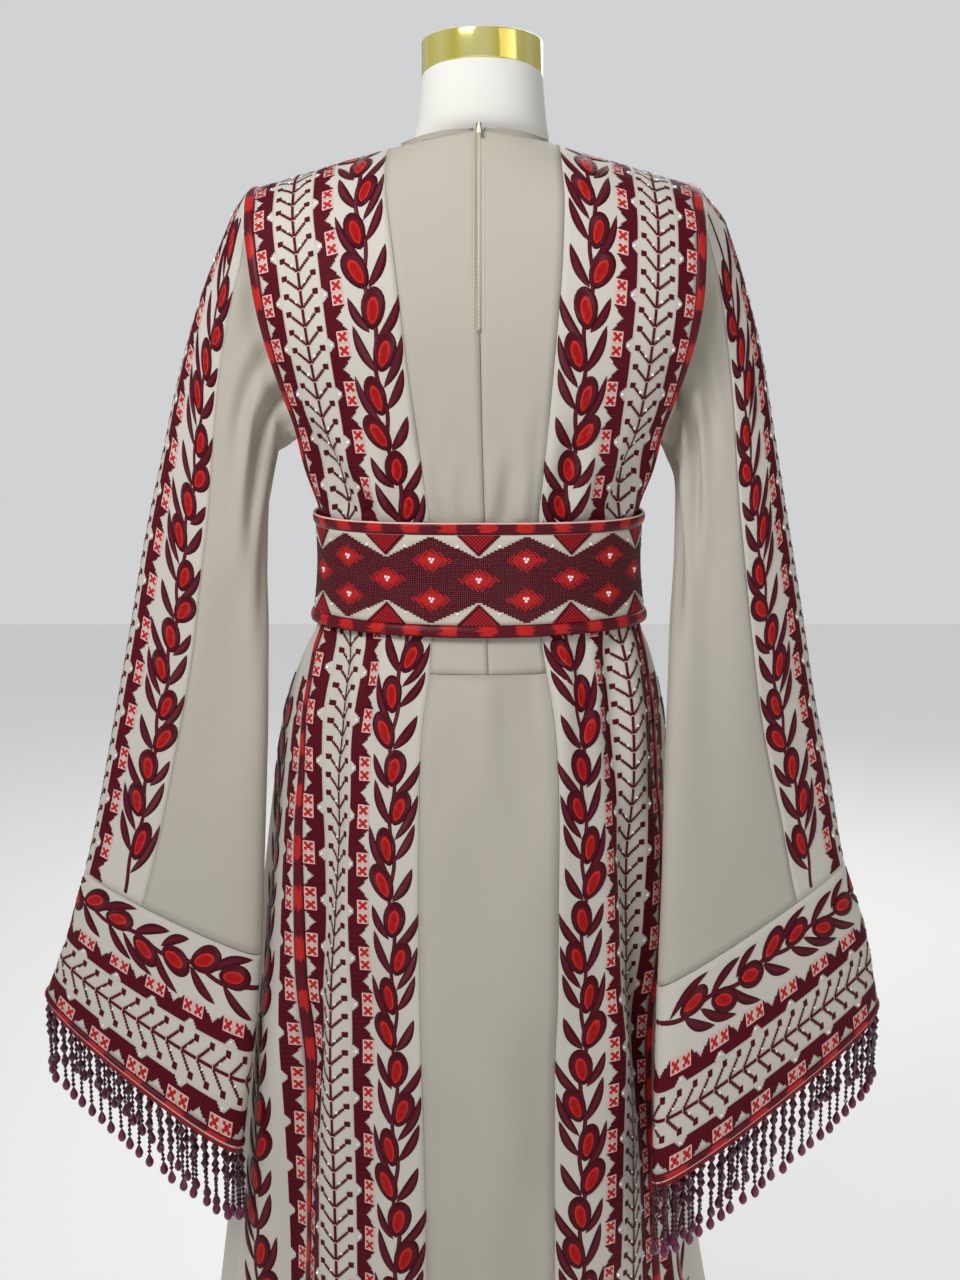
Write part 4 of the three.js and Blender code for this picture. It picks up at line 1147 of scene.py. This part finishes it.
def makeSideBorder(side, sign, face):
    # squares and teeth along the piping, then the olive strip, on a map of constant width
    u = np.linspace(0, cut["sideBorder"], 22)
    rows = evenRows(0, 7.6, 8, lambda k: sign * seamLines(k, sign)[f"{face}Outer"])
    points = np.empty((len(rows), len(u), 3))
    for i, k in enumerate(rows):
        lines = seamLines(k, sign)
        if face == "back":
            arc = lines["backOuter"] + cut["pipingWidth"] + seamGap + u
        else:
            arc = lines["frontOuter"] - cut["pipingWidth"] - seamGap - u
        points[i] = bodyRow(k, sign * arc)
    cloth = clothMap(points, u, bodyInside, bodyCreases)
    length = cloth["along"][-1]
    name = f"side{face.capitalize()}{side.capitalize()}"
    letters = bandLetters(int(length / cut["cell"]), halfBand=True)
    stitchMesh(f"{name}CrossStitch", cloth, letters, 1.0, 0.5)
    sprigMesh(f"{name}Olives", cloth, cut["sideOlives"], False, 4, length - 4)


def makePiping(side, sign):
    u = np.linspace(seamGap, cut["pipingWidth"] - seamGap, cordColumns)
    rows = evenRows(0, cut["ridgeRow"], 8, lambda k: sign * seamLines(k, sign)["backOuter"])
    back, front = [], []
    for k in rows:
        lines = seamLines(k, sign)
        back.append(bodyRow(k, sign * (lines["backOuter"] + u)))
        front.append(bodyRow(k, sign * (lines["frontOuter"] - u)))
    points = np.concatenate([np.array(back), np.array(front)[::-1][1:]])
    # normals on this strip point away from the body on both faces
    cloth = clothMap(points, u, bodyInside, bodyCreases)
    raiseMap(cloth, cordProfile(0.4, 1.5)[:, None])
    piece = sewPanel(f"piping{side.capitalize()}", cloth, bandPiping, [f"piping_{side}"])


makeBody()


# ---- sleeves

def sleeveInside(side):
    sign = -1 if side == "left" else 1
    return np.array([sign * 250.0, -35.0, 1000.0])


def evenSleeveRows(side, r0, r1, spacing):
    r = np.linspace(r0, r1, 160)
    line = np.array([sleeveRow(side, value, "back", lambda length: np.array([20.0]))[0] for value in r])
    runs = runningLength(line)
    return np.interp(np.linspace(0, runs[-1], int(runs[-1] / spacing) + 1), runs, r)


sleeveCreases = [
    # side, from row and share of the plain panel, to row and share, half width mm, depth
    ("left", 0.2, 0.62, 4.6, 0.66, 9, 10.0), ("left", 1.0, 0.90, 5.8, 0.84, 8, 6.5),
    ("left", 0.4, 0.45, 3.0, 0.30, 9, 4.2), ("left", 4.5, 0.5, 8.0, 0.42, 22, 4.0),
    ("right", 0.2, 0.60, 4.2, 0.64, 9, 10.0), ("right", 1.0, 0.90, 5.4, 0.84, 8, 6.5),
    ("right", 0.4, 0.42, 3.2, 0.28, 9, 4.2), ("right", 4.0, 0.45, 8.2, 0.55, 24, 4.0),
]


# depth in mm, the row it is deepest at, half its height in rows
armholeDip = {"back": (21, 0.7, 0.55), "front": (10, 0.75, 0.6)}


def creasePlain(side, rows, f, width, face):
    # the cloth sinks in beside the armhole before it falls down the arm
    depth, row, half = armholeDip[face]
    sink = np.exp(-((rows - row) / half) ** 2) * smoothStep(0, 0.35, rows)
    total = -depth * sink[:, None] * (smoothStep(0, 0.2, f) * (1 - smoothStep(0.66, 0.95, f)))[None, :]
    for where, r0, f0, r1, f1, half, depth in sleeveCreases:
        if where != side:
            continue
        t = (rows - r0) / (r1 - r0)
        centre = (f0 + (f1 - f0) * t)[:, None]
        gapMm = np.abs(f[None, :] - centre) * width[:, None]
        fade = (smoothStep(-0.1, 0.2, t) * (1 - smoothStep(0.5, 1.1, t)))[:, None]
        total += fade * (-depth * np.exp(-(gapMm / half) ** 2)
                         + 0.5 * depth * np.exp(-((gapMm - 1.8 * half) / half) ** 2))
    edge = smoothStep(0, 0.06, f) * (1 - smoothStep(0.94, 1, f))
    return total * edge[None, :]


def makeSleeve(side):
    cap = side.capitalize()
    inside = sleeveInside(side)
    rows = evenSleeveRows(side, 0, cut["cuffTopRow"] - 0.006, 7)
    half = cut["sleeveBandHalf"]
    u = np.linspace(-half, half, 34)
    points = np.empty((len(rows), len(u), 3))
    for i, r in enumerate(rows):
        for face, pick in (("back", u >= 0), ("front", u < 0)):
            points[i, pick] = sleeveRow(side, r, face, lambda length, d=np.abs(u[pick]): d)
    cloth = clothMap(points, u, inside)
    name = f"sleeveBand{cap}"
    piece = sewPanel(name, cloth, bandCrepe, [f"sleeve_band_{side}"])
    length = cloth["along"][-1]
    # the strip is charted from the cuff up, so its branches rise to the shoulder
    chartFrom = cut["oliveWidth"] - half
    letters = bandLetters(int((length - 2) / cut["cell"]))[::-1]
    stitchMesh(f"{name}CrossStitch", cloth, letters, chartFrom, 1.0)
    for edge, flip in ((-half, False), (half - cut["oliveWidth"], True)):
        sprigMesh(f"{name}Olives{'Back' if flip else 'Front'}", countedDown(cloth), edge, flip, 4, length - 4)
    crystalU, crystalV = bandCrystals(length, chartFrom)
    crystalMesh(f"{name}Crystals", cloth, crystalU, length - 1 - crystalV)
    for face in ("back", "front"):
        f = np.linspace(0, 1, 26)
        points = np.empty((len(rows), len(f), 3))
        width = np.empty(len(rows))
        for i, r in enumerate(rows):
            points[i] = sleeveRow(side, r, face, lambda length: half + 0.3 + (length - half - 0.5) * f)
            width[i] = runningLength(points[i])[-1]
        cloth = clothMap(points, f * width.mean(), inside)
        raiseMap(cloth, creasePlain(side, rows, f, width, face)[..., None])
        piece = sewPanel(f"sleeve{face.capitalize()}{cap}", cloth, crepe, [f"sleeve_{face}_{side}"])


def ringRow(side, r, t):
    # t runs from the outer edge over the back to the inner edge, and home over the front
    out = np.empty((len(t), 3))
    for face, pick, share in (("back", t <= 0.5, t * 2), ("front", t > 0.5, 2 - t * 2)):
        if pick.any():
            run = np.clip(share[pick], 0.002, 0.998)
            out[pick] = sleeveRow(side, r, face, lambda length, run=run: run * length)
    return out


def cuffMap(side, r0, r1, rowsCount, t, push=0.0):
    rows = np.linspace(r0, r1, rowsCount)
    points = np.array([ringRow(side, r, t) for r in rows])
    inside = np.array([(-1 if side == "left" else 1) * 290.0, -70.0, 690.0])
    middle = rowsCount // 2
    cloth = clothMap(points, runningLength(points[middle]), inside)
    raiseMap(cloth, push)
    return cloth


def makeCuff(side):
    cap = side.capitalize()
    # the ring is cut at the underarm seam, so it starts and ends at the inner edge
    t = (np.linspace(0, 1, 113) + 0.5) % 1.0
    t[0], t[-1] = 0.5, 0.4999
    cloth = cuffMap(side, cut["cuffTopRow"] + 0.002, cut["cuffPipingRow"] - 0.002, 20, t)
    depth = cloth["along"][-1]
    girth = cloth["across"][-1]
    name = f"cuffBand{cap}"
    piece = sewPanel(name, cloth, bandCrepe, [f"cuff_band_{side}"])
    # the cuff's chart is the band's, scaled to the cuff's depth
    scale = depth / cut["bandWidth"]
    cell = cut["cell"] * scale
    letters = bandLetters(int(girth / cut["cell"]))
    # both cuffs are cut from one cloth, so their branches all grow the same way
    worked = cloth if side == "left" else countedBack(cloth)
    stitchMesh(f"{name}CrossStitch", worked, letters, 0.5, cut["oliveWidth"] * scale, stepV=cell, swap=True)
    sprigMesh(f"{name}Olives", worked, 1.5 + 22 * (scale - 1), False, 4, girth - 4, swap=True)
    along, across = bandCrystals(girth, 0)
    crystalMesh(f"{name}Crystals", worked, across, cut["oliveWidth"] * scale + along * scale)
    tape = cuffMap(side, cut["cuffPipingRow"], cut["hemRow"], cordColumns, t)
    raiseMap(tape, cordProfile(0.5, 1.5)[:, None, None])
    piece = sewPanel(f"cuffPiping{cap}", turnedMap(tape), bandPiping, [f"cuff_piping_{side}"])
    edgeStitches(f"cuffEdgeStitches{cap}", tape, 1.5, 1.4)
    lining = cuffMap(side, *cut["liningRows"], 12, t, push=-cut["liningInset"])
    piece = sewPanel(f"cuffLining{cap}", lining, redLining, [f"cuff_lining_{side}"], wall=1.0)


# ---- bead fringe: one of each bead, modelled once and copied along the strands

# each bead's radius, height and number of sides, and the order they are strung in;
# neck is the width of a bead's ends as a share of its middle
fringeSizes = {"big": (4.0, 9.6, 6), "small": (2.4, 6.4, 6), "tiny": (1.9, 4.6, 6), "cap": (2.3, 4.0, 6),
               "order": ("small", "big", "small", "big", "small", "tiny", "tiny", "tiny", "cap"),
               "neck": 0.34, "drop": 13.2, "dropRadius": 4.1,
               "pitch": 12.4, "length": 72, "firstBead": 2.6, "sway": 1.1}


def beadUnit(radius, height, vertices):
    clearSelection()
    bpy.ops.mesh.primitive_cylinder_add(vertices=vertices, radius=fringeSizes["neck"] * radius, depth=height)
    unit = bpy.context.object
    bpy.ops.object.mode_set(mode="EDIT")
    bpy.ops.mesh.select_all(action="SELECT")
    bpy.ops.mesh.bisect(plane_co=(0, 0, 0), plane_no=(0, 0, 1))
    bpy.ops.object.mode_set(mode="OBJECT")
    for vertex in unit.data.vertices:
        if abs(vertex.co.z) < 0.01:
            vertex.co.x /= fringeSizes["neck"]
            vertex.co.y /= fringeSizes["neck"]
    return takeUnit()


def dropUnit():
    clearSelection()
    bpy.ops.mesh.primitive_uv_sphere_add(segments=10, ring_count=8, radius=1)
    unit = bpy.context.object
    for vertex in unit.data.vertices:
        z = vertex.co.z
        narrow = fringeSizes["dropRadius"] * (1 - 0.55 * smoothStep(-0.4, 1.0, z))
        vertex.co.x *= narrow
        vertex.co.y *= narrow
        vertex.co.z = z * fringeSizes["drop"] / 2
    return takeUnit()


def makeFringe(side):
    cap = side.capitalize()
    ring = ringRow(side, cut["hemRow"], np.linspace(0, 1, 29))
    normals = ring - ring[:-1].mean(axis=0)
    normals[:, 2] = 0
    normals /= np.linalg.norm(normals, axis=1, keepdims=True)
    roots = ring - normals * 0.8
    runs = runningLength(roots)
    count = int(round(runs[-1] / fringeSizes["pitch"]))
    spots = alongLine((runs, roots), (np.arange(count) + 0.5) * runs[-1] / count)
    beads = {kind: beadUnit(*fringeSizes[kind]) for kind in ("big", "small", "tiny", "cap")}
    drop = dropUnit()
    dice = np.random.default_rng(11 if side == "left" else 12)
    vertices, faces, slots, start = [], [], [], 0

    def put(unit, place, slot, turn):
        nonlocal start
        points, unitFaces = unit
        c, s = math.cos(turn), math.sin(turn)
        x, y, z = points.T
        spun = np.stack([x * c - y * s, x * s + y * c, z], axis=1)
        vertices.extend(((spun + place) * mm).tolist())
        faces.extend([[index + start for index in face] for face in unitFaces])
        slots.extend([slot] * len(unitFaces))
        start += len(points)

    # every strand hangs a little off the plumb line
    for spot in spots:
        sway = dice.normal(0, fringeSizes["sway"], 2)
        z = fringeSizes["firstBead"]
        for kind in fringeSizes["order"]:
            size = fringeSizes[kind][1]
            share = z / fringeSizes["length"]
            put(beads[kind], spot + np.array([sway[0] * share, sway[1] * share, -z - size / 2]), 0,
                dice.uniform(0, 3))
            z += size
        put(drop, spot + np.array([sway[0], sway[1], -z - fringeSizes["drop"] / 2]), 1, dice.uniform(0, 3))
    piece = linkMesh(f"beadFringe{cap}", vertices, faces)
    piece.data.polygons.foreach_set("material_index", slots)
    finishPiece(piece, [plumGlass, dropGlass], replaces=[f"fringe_{side}"])
    # the tape that carries the strands
    rows = [ring - np.array([0, 0, below]) for below in (0.6, 2.8, 5.0)]
    cloth = clothMap(np.array(rows), runningLength(ring), ring[:-1].mean(axis=0))
    sewPanel(f"fringeTape{cap}", cloth, redLining, [], wall=1.2)


for side, sign in sides:
    makeSleeve(side)
    makeCuff(side)
    makeFringe(side)
print("sleeves, cuffs and fringe made")


# ---- belt

beltSizes = {"clear": 3.5, "thick": 3.0, "wall": 2.6, "repeat": 50, "rows": 48,
             "hexagon": (11.5, 12.0), "diamond": (9.6, 5.6), "diamondOff": 10.6, "triangleFrom": 12.5,
             "bandRows": (9.252, 10.748), "cords": (("Bottom", 9.0, 9.24), ("Top", 10.76, 11.0))}


def beltMap(k0, k1, count, push):
    arc = np.linspace(0, 1, 161)
    rows = np.linspace(k0, k1, count)
    points = []
    for k in rows:
        left, right = (alongLine(halfRing(k, sign), arc * halfRing(k, sign)[0][-1]) for sign in (-1, 1))
        points.append(np.concatenate([left[::-1], right[1:]]))
    points = np.array(points)
    cloth = clothMap(points, runningLength(points[count // 2]), np.array([0.0, 0, 1090]))
    raiseMap(cloth, push)
    cloth["across"] = runningLength(cloth["points"][count // 2])
    return cloth


def beltLetters(columns):
    # a chain of maroon hexagons with red diamonds, and triangles pointing in between them
    repeat, rows = beltSizes["repeat"], beltSizes["rows"]
    letters = np.full((rows, columns), ".", dtype="<U1")
    middle = (rows - 1) / 2
    narrow, more = beltSizes["hexagon"]
    wide, tall = beltSizes["diamond"]
    for column in range(columns):
        x = abs((column + 0.5) % repeat - repeat / 2)      # 0 at the wide point
        nearNarrow = repeat / 2 - x
        half = narrow + more * (1 - x / (repeat / 2))
        for row in range(rows):
            y = abs(row - middle)
            reach = y - beltSizes["triangleFrom"]
            letter = "."
            if y < half:
                pair = abs(y - beltSizes["diamondOff"]) / tall + x / wide
                share = min(pair, y / tall + nearNarrow / wide)
                odd = (row + column) % 2
                letter = "K"
                if share < 0.85:
                    letter = "R" if odd or share > 0.55 else "O"
                elif share < 1.2 and odd:
                    letter = "R"
            elif reach > 0 and nearNarrow < reach:
                letter = "D" if nearNarrow > reach - 1.6 or (row + column) % 2 else "R"
            elif y < half + 1.6:
                letter = "W"
            letters[row, column] = letter
    return letters


def beltCrystals(columns, stepU, stepV):
    # three in the middle of each diamond, and one on each flank of the ivory zigzags
    u, v = [], []
    middle = beltSizes["rows"] / 2
    halfRepeat, off = beltSizes["repeat"] / 2, beltSizes["diamondOff"]
    for start in range(0, columns, beltSizes["repeat"]):
        for column, row in ((halfRepeat, off), (halfRepeat, -off), (0, 0)):
            for shift, drop in ((-0.9, 0.7), (0.9, 0.5), (0, -0.9)):
                u.append((start + column + shift) * stepU)
                v.append((middle + row + drop) * stepV)
        for side in (-1, 1):
            for face in (-1, 1):
                u.append((start + halfRepeat + side * 14.1) * stepU)
                v.append((middle + face * 18.06) * stepV)
    return np.array(u) % (columns * stepU), np.array(v)


def makeBelt():
    push = beltSizes["clear"] + beltSizes["thick"]
    cloth = beltMap(*beltSizes["bandRows"], 18, push)
    piece = sewPanel("beltBand", cloth, beltGround, ["belt_band"], wall=beltSizes["wall"])
    girth, depth = cloth["across"][-1], cloth["along"][-1]
    repeats = round(girth / (beltSizes["repeat"] * cut["cell"]))
    columns = repeats * beltSizes["repeat"]
    stepU = girth / columns
    stepV = depth / beltSizes["rows"]
    stitchMesh("beltCrossStitch", cloth, beltLetters(columns), 0, 0, stepU, stepV, height=0.3)
    u, v = beltCrystals(columns, stepU, stepV)
    crystalMesh("beltCrystals", cloth, u % girth, v)
    for place, k0, k1 in beltSizes["cords"]:
        cord = beltMap(k0, k1, cordColumns, push)
        raiseMap(cord, cordProfile(0.3, 1.6)[:, None, None])
        piece = sewPanel(f"beltPiping{place}", turnedMap(cord), beltPiping,
                         [f"belt_piping_{place.lower()}"], wall=beltSizes["wall"])
        if place == "Top":
            edgeStitches("beltEdgeStitches", cord, 1.4, 1.2)


makeBelt()
print("belt made")


# ---- neck facings

facing = {"inset": {"back": 2.35, "front": 2.5}, "below": -3.0, "edgeRise": 1.0, "middleRise": 4.5,
          "reach": 0.87, "lean": 0.8}


def makeFacing(name, node, face, shares):
    edge = centrePanel(np.array([cut["ridgeRow"]]), shares, face)[0]
    flat = edge - np.array([0, 6, 0])
    flat[:, 2] = 0
    flat /= np.linalg.norm(flat, axis=1, keepdims=True)
    bulge = np.sin(math.pi * np.abs(shares))
    top = facing["edgeRise"] + (facing["middleRise"] - facing["edgeRise"]) * bulge
    rows = []
    for share, lean in ((None, 0), (0, 0), (0.45, 0.1), (0.75, 0.45), (0.93, 0.8), (1, 1)):
        rise = np.full(len(shares), facing["below"]) if share is None else top * share
        inset = facing["inset"][face] - facing["lean"] * lean
        rows.append(edge - flat * inset + np.stack([rise * 0, rise * 0, rise], axis=1))
    points = np.array(rows)
    cloth = clothMap(points, runningLength(edge), np.array([0.0, 0.0, 1300.0]))
    outward = np.broadcast_to(flat, points.shape).copy()
    outward[-2:] = (outward[-2:] + np.array([0, 0, 1.2])) / 1.56
    cloth["normals"] = outward
    piece = sewPanel(name, cloth, crepe, [node], wall=1.3)


def makeFacings():
    for side, sign in sides:
        shares = sign * np.linspace(0.06, facing["reach"], 15)
        makeFacing(f"neckFacingBack{side.capitalize()}", f"neck_facing_back_{side}", "back", shares)
    shares = np.linspace(-facing["reach"], facing["reach"], 29)
    makeFacing("neckFacingFront", "neck_facing_front", "front", shares)


makeFacings()


# ---- zip: coil, stitching, slider and pull

zipSizes = {"rows": (15, 20), "tooth": (1.9, 0.75, 1.0), "toothPitch": 1.1, "stitch": (0.75, 2.2, 0.6),
            "stitchPitch": 3.4, "stitchOut": 4.3, "endStop": (3.2, 2.6, 1.0), "seat": 1.8,
            "place": (0.0, -56.80, 1468.99), "into": (0.0, 0.6099, -0.7924), "up": (0.0, 0.7924, 0.6099),
            "slider": (5.0, 2.6, 8.0), "pull": (4.0, 1.0, 15.0), "pin": 0.5, "clear": 0.5, "hingeUp": 1.0}


def boxUnit(x, y, z):
    clearSelection()
    bpy.ops.mesh.primitive_cube_add(size=1, scale=(x, y, z))
    bpy.ops.object.transform_apply(location=False, rotation=False, scale=True)
    return takeUnit()


def zipMap():
    u = np.linspace(-8, 8, 9)
    rows = evenRows(*zipSizes["rows"], 5, lambda k: 1.0)
    points = np.empty((len(rows), len(u), 3))
    for i, k in enumerate(rows):
        kLocal = neckRow(k, np.zeros(1), cut["backNeckRows"])[0]
        points[i] = bodyRow(kLocal, u)
    return clothMap(points, u, bodyInside, bodyCreases)


def makeZip():
    cloth = zipMap()
    length = cloth["along"][-1]
    count = int((length - 9) / zipSizes["toothPitch"])
    v = 3 + np.arange(count) * zipSizes["toothPitch"]
    u = np.where(np.arange(count) % 2, 0.55, -0.55)
    tooth = boxUnit(*zipSizes["tooth"])
    teeth = placeUnits("zipCoil", cloth, u, v, tooth, coilNylon, height=0.9)
    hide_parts("zip_coil")
    v = np.arange(1, length - 3, zipSizes["stitchPitch"])
    u = np.concatenate([np.full(len(v), -zipSizes["stitchOut"]), np.full(len(v), zipSizes["stitchOut"])])
    stitch = boxUnit(*zipSizes["stitch"])
    placeUnits("zipStitches", cloth, u, np.tile(v, 2), stitch, creamThread, height=0.3)
    stop = boxUnit(*zipSizes["endStop"])
    placeUnits("zipEndStop", cloth, [0.0], [1.4], stop, zipMetal, height=0.6)


def shapedBox(size, centre, bevel, topScale=1.0):
    # a box tapered to its top and rounded on every edge, in mm in the zip's own frame
    clearSelection()
    bpy.ops.mesh.primitive_cube_add(size=1, location=centre, scale=size)
    piece = bpy.context.object
    bpy.ops.object.transform_apply(location=True, rotation=False, scale=True)
    for vertex in piece.data.vertices:
        if vertex.co.z > centre[2]:
            vertex.co.x *= topScale
    applyModifier(piece, "BEVEL", width=bevel, segments=3)
    return piece


def joinPieces(name, parts):
    clearSelection()
    for part in parts:
        part.select_set(True)
    bpy.context.view_layer.objects.active = parts[0]
    bpy.ops.object.join()
    piece = bpy.context.object
    piece.name = name
    # from the zip's frame (mm) to the room
    into, up = Vector(zipSizes["into"]), Vector(zipSizes["up"])
    turn = Matrix(((1, into.x, up.x), (0, into.y, up.y), (0, into.z, up.z))).to_4x4()
    place = Matrix.Translation(Vector(zipSizes["place"]) * mm) @ turn @ Matrix.Scale(mm, 4)
    piece.data.transform(place)
    bpy.ops.object.shade_smooth_by_angle(angle=math.radians(40))
    return piece


def makeSlider():
    wide, deep, tall = zipSizes["slider"]
    face = -zipSizes["seat"] - deep
    pivot = face - zipSizes["clear"] - zipSizes["pull"][1] / 2
    parts = [shapedBox((wide, 1.0, tall), (0, -zipSizes["seat"] - 0.5, 0), 0.45, 0.82),
             shapedBox((wide, 1.0, tall), (0, face + 0.5, 0), 0.45, 0.82),
             shapedBox((1.3, 1.2, tall * 0.55), (0, -zipSizes["seat"] - deep / 2, 0.6), 0.2)]
    for side in (-1, 1):
        parts.append(shapedBox((0.6, 2.3, 1.8), (side * 1.75, pivot + 0.85, zipSizes["hingeUp"]), 0.22))
        parts.append(shapedBox((0.5, 0.5, 0.5), (side * 1.35, pivot, zipSizes["hingeUp"]), 0.15))
    slider = joinPieces("zipSlider", parts)
    finishPiece(slider, [sliderSteel], replaces=["zip_slider"])
    wide, deep, tall = zipSizes["pull"]
    top = zipSizes["hingeUp"] + zipSizes["pin"]
    leafTall = tall - 3.2
    raised = (wide * 0.5, deep * 0.4, tall * 0.45)
    parts = [shapedBox((1.8, deep, 4.0), (0, pivot, top - 2.0), 0.3),
             shapedBox((wide, deep, leafTall), (0, pivot, top - 3.2 - leafTall / 2), 0.35, 0.62),
             shapedBox(raised, (0, pivot - deep / 2, top - tall * 0.66), 0.15, 0.8)]
    pull = joinPieces("zipPull", parts)
    finishPiece(pull, [pullEnamel], body="pull", replaces=["zip_pull"])


makeZip()
makeSlider()
print("neck and zip made")


# ---- the dress form

# height, half width, half depth to the back and to the front
formRings = np.array([
    (862, 130, 84, 90), (866, 146, 96, 102), (900, 154, 101, 107), (963, 153, 103, 109),
    (1010, 143, 96, 101), (1060, 130, 88, 93), (1120, 129, 89, 94), (1205, 145, 99, 106),
    (1290, 166, 105, 117), (1350, 175, 103, 111), (1395, 178, 88, 92), (1415, 175, 66, 66),
    (1429.2, 169, 36, 34), (1442.5, 121, 36, 34), (1452.8, 77.2, 38, 36), (1456, 62, 42, 48),
    (1468, 59, 46, 56), (1484, 56, 52, 58), (1515.9, 53, 53, 53),
], float)
form = {"neckForward": 4, "neckShift": 3, "neckTilt": 0.24, "capTilt": 0.12, "capRadius": 53,
        "capBase": 1516.2, "capTop": 1548, "columns": 96}


def makeTorso():
    k = np.concatenate([np.arange(0, 15), np.linspace(15, len(formRings) - 1, 25)])
    turn = np.linspace(0, 2 * math.pi, form["columns"] + 1)
    points = np.empty((len(k), len(turn), 3))
    for i, value in enumerate(k):
        z, wide, back, front = readTable(formRings, value)
        neck = smoothStep(1430, 1484, z)
        lean = smoothStep(1484, form["capBase"], z) * form["neckTilt"]
        y = -np.where(np.cos(turn) > 0, back, front) * signedPower(np.cos(turn), 0.92)
        points[i, :, 0] = wide * signedPower(np.sin(turn), 0.92) + form["neckShift"] * neck
        points[i, :, 1] = y + form["neckForward"] * neck
        points[i, :, 2] = z - lean * y
    clearSelection()
    bpy.ops.mesh.primitive_grid_add(x_subdivisions=form["columns"], y_subdivisions=len(k) - 1)
    piece = bpy.context.object
    piece.name = "formTorso"
    piece.data.vertices.foreach_set("co", points.astype(np.float32).ravel() * mm)
    bpy.ops.object.mode_set(mode="EDIT")
    bpy.ops.mesh.select_all(action="SELECT")
    bpy.ops.mesh.remove_doubles(threshold=0.00001)
    bpy.ops.mesh.select_all(action="DESELECT")
    bpy.ops.mesh.select_non_manifold()
    bpy.ops.mesh.fill_holes(sides=0)
    bpy.ops.mesh.select_all(action="SELECT")
    bpy.ops.mesh.normals_make_consistent(inside=False)
    bpy.ops.object.mode_set(mode="OBJECT")
    bpy.ops.object.shade_smooth_by_angle(angle=math.radians(50))
    return finishPiece(piece, [linen], replaces=["form_torso"])


def makeCap():
    clearSelection()
    bpy.ops.mesh.primitive_cylinder_add(vertices=form["columns"], radius=form["capRadius"] * mm, depth=2)
    piece = bpy.context.object
    piece.name = "neckCap"
    for vertex in piece.data.vertices:
        top = vertex.co.z > 0
        slope = form["capTilt"] if top else form["neckTilt"]
        vertex.co.z = (form["capTop"] if top else form["capBase"]) * mm - slope * vertex.co.y
        vertex.co.x += form["neckShift"] * mm
        vertex.co.y += form["neckForward"] * mm
    applyModifier(piece, "BEVEL", width=1.4 * mm, segments=4, limit_method="ANGLE")
    clearSelection()
    piece.select_set(True)
    bpy.context.view_layer.objects.active = piece
    bpy.ops.object.shade_smooth_by_angle(angle=math.radians(30))
    finishPiece(piece, [gold], replaces=["neck_cap"])


torso = makeTorso()
makeCap()
for name in ("form_pole", "form_foot"):
    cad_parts[name].data.materials.clear()
    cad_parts[name].data.materials.append(steel)
print("form made")
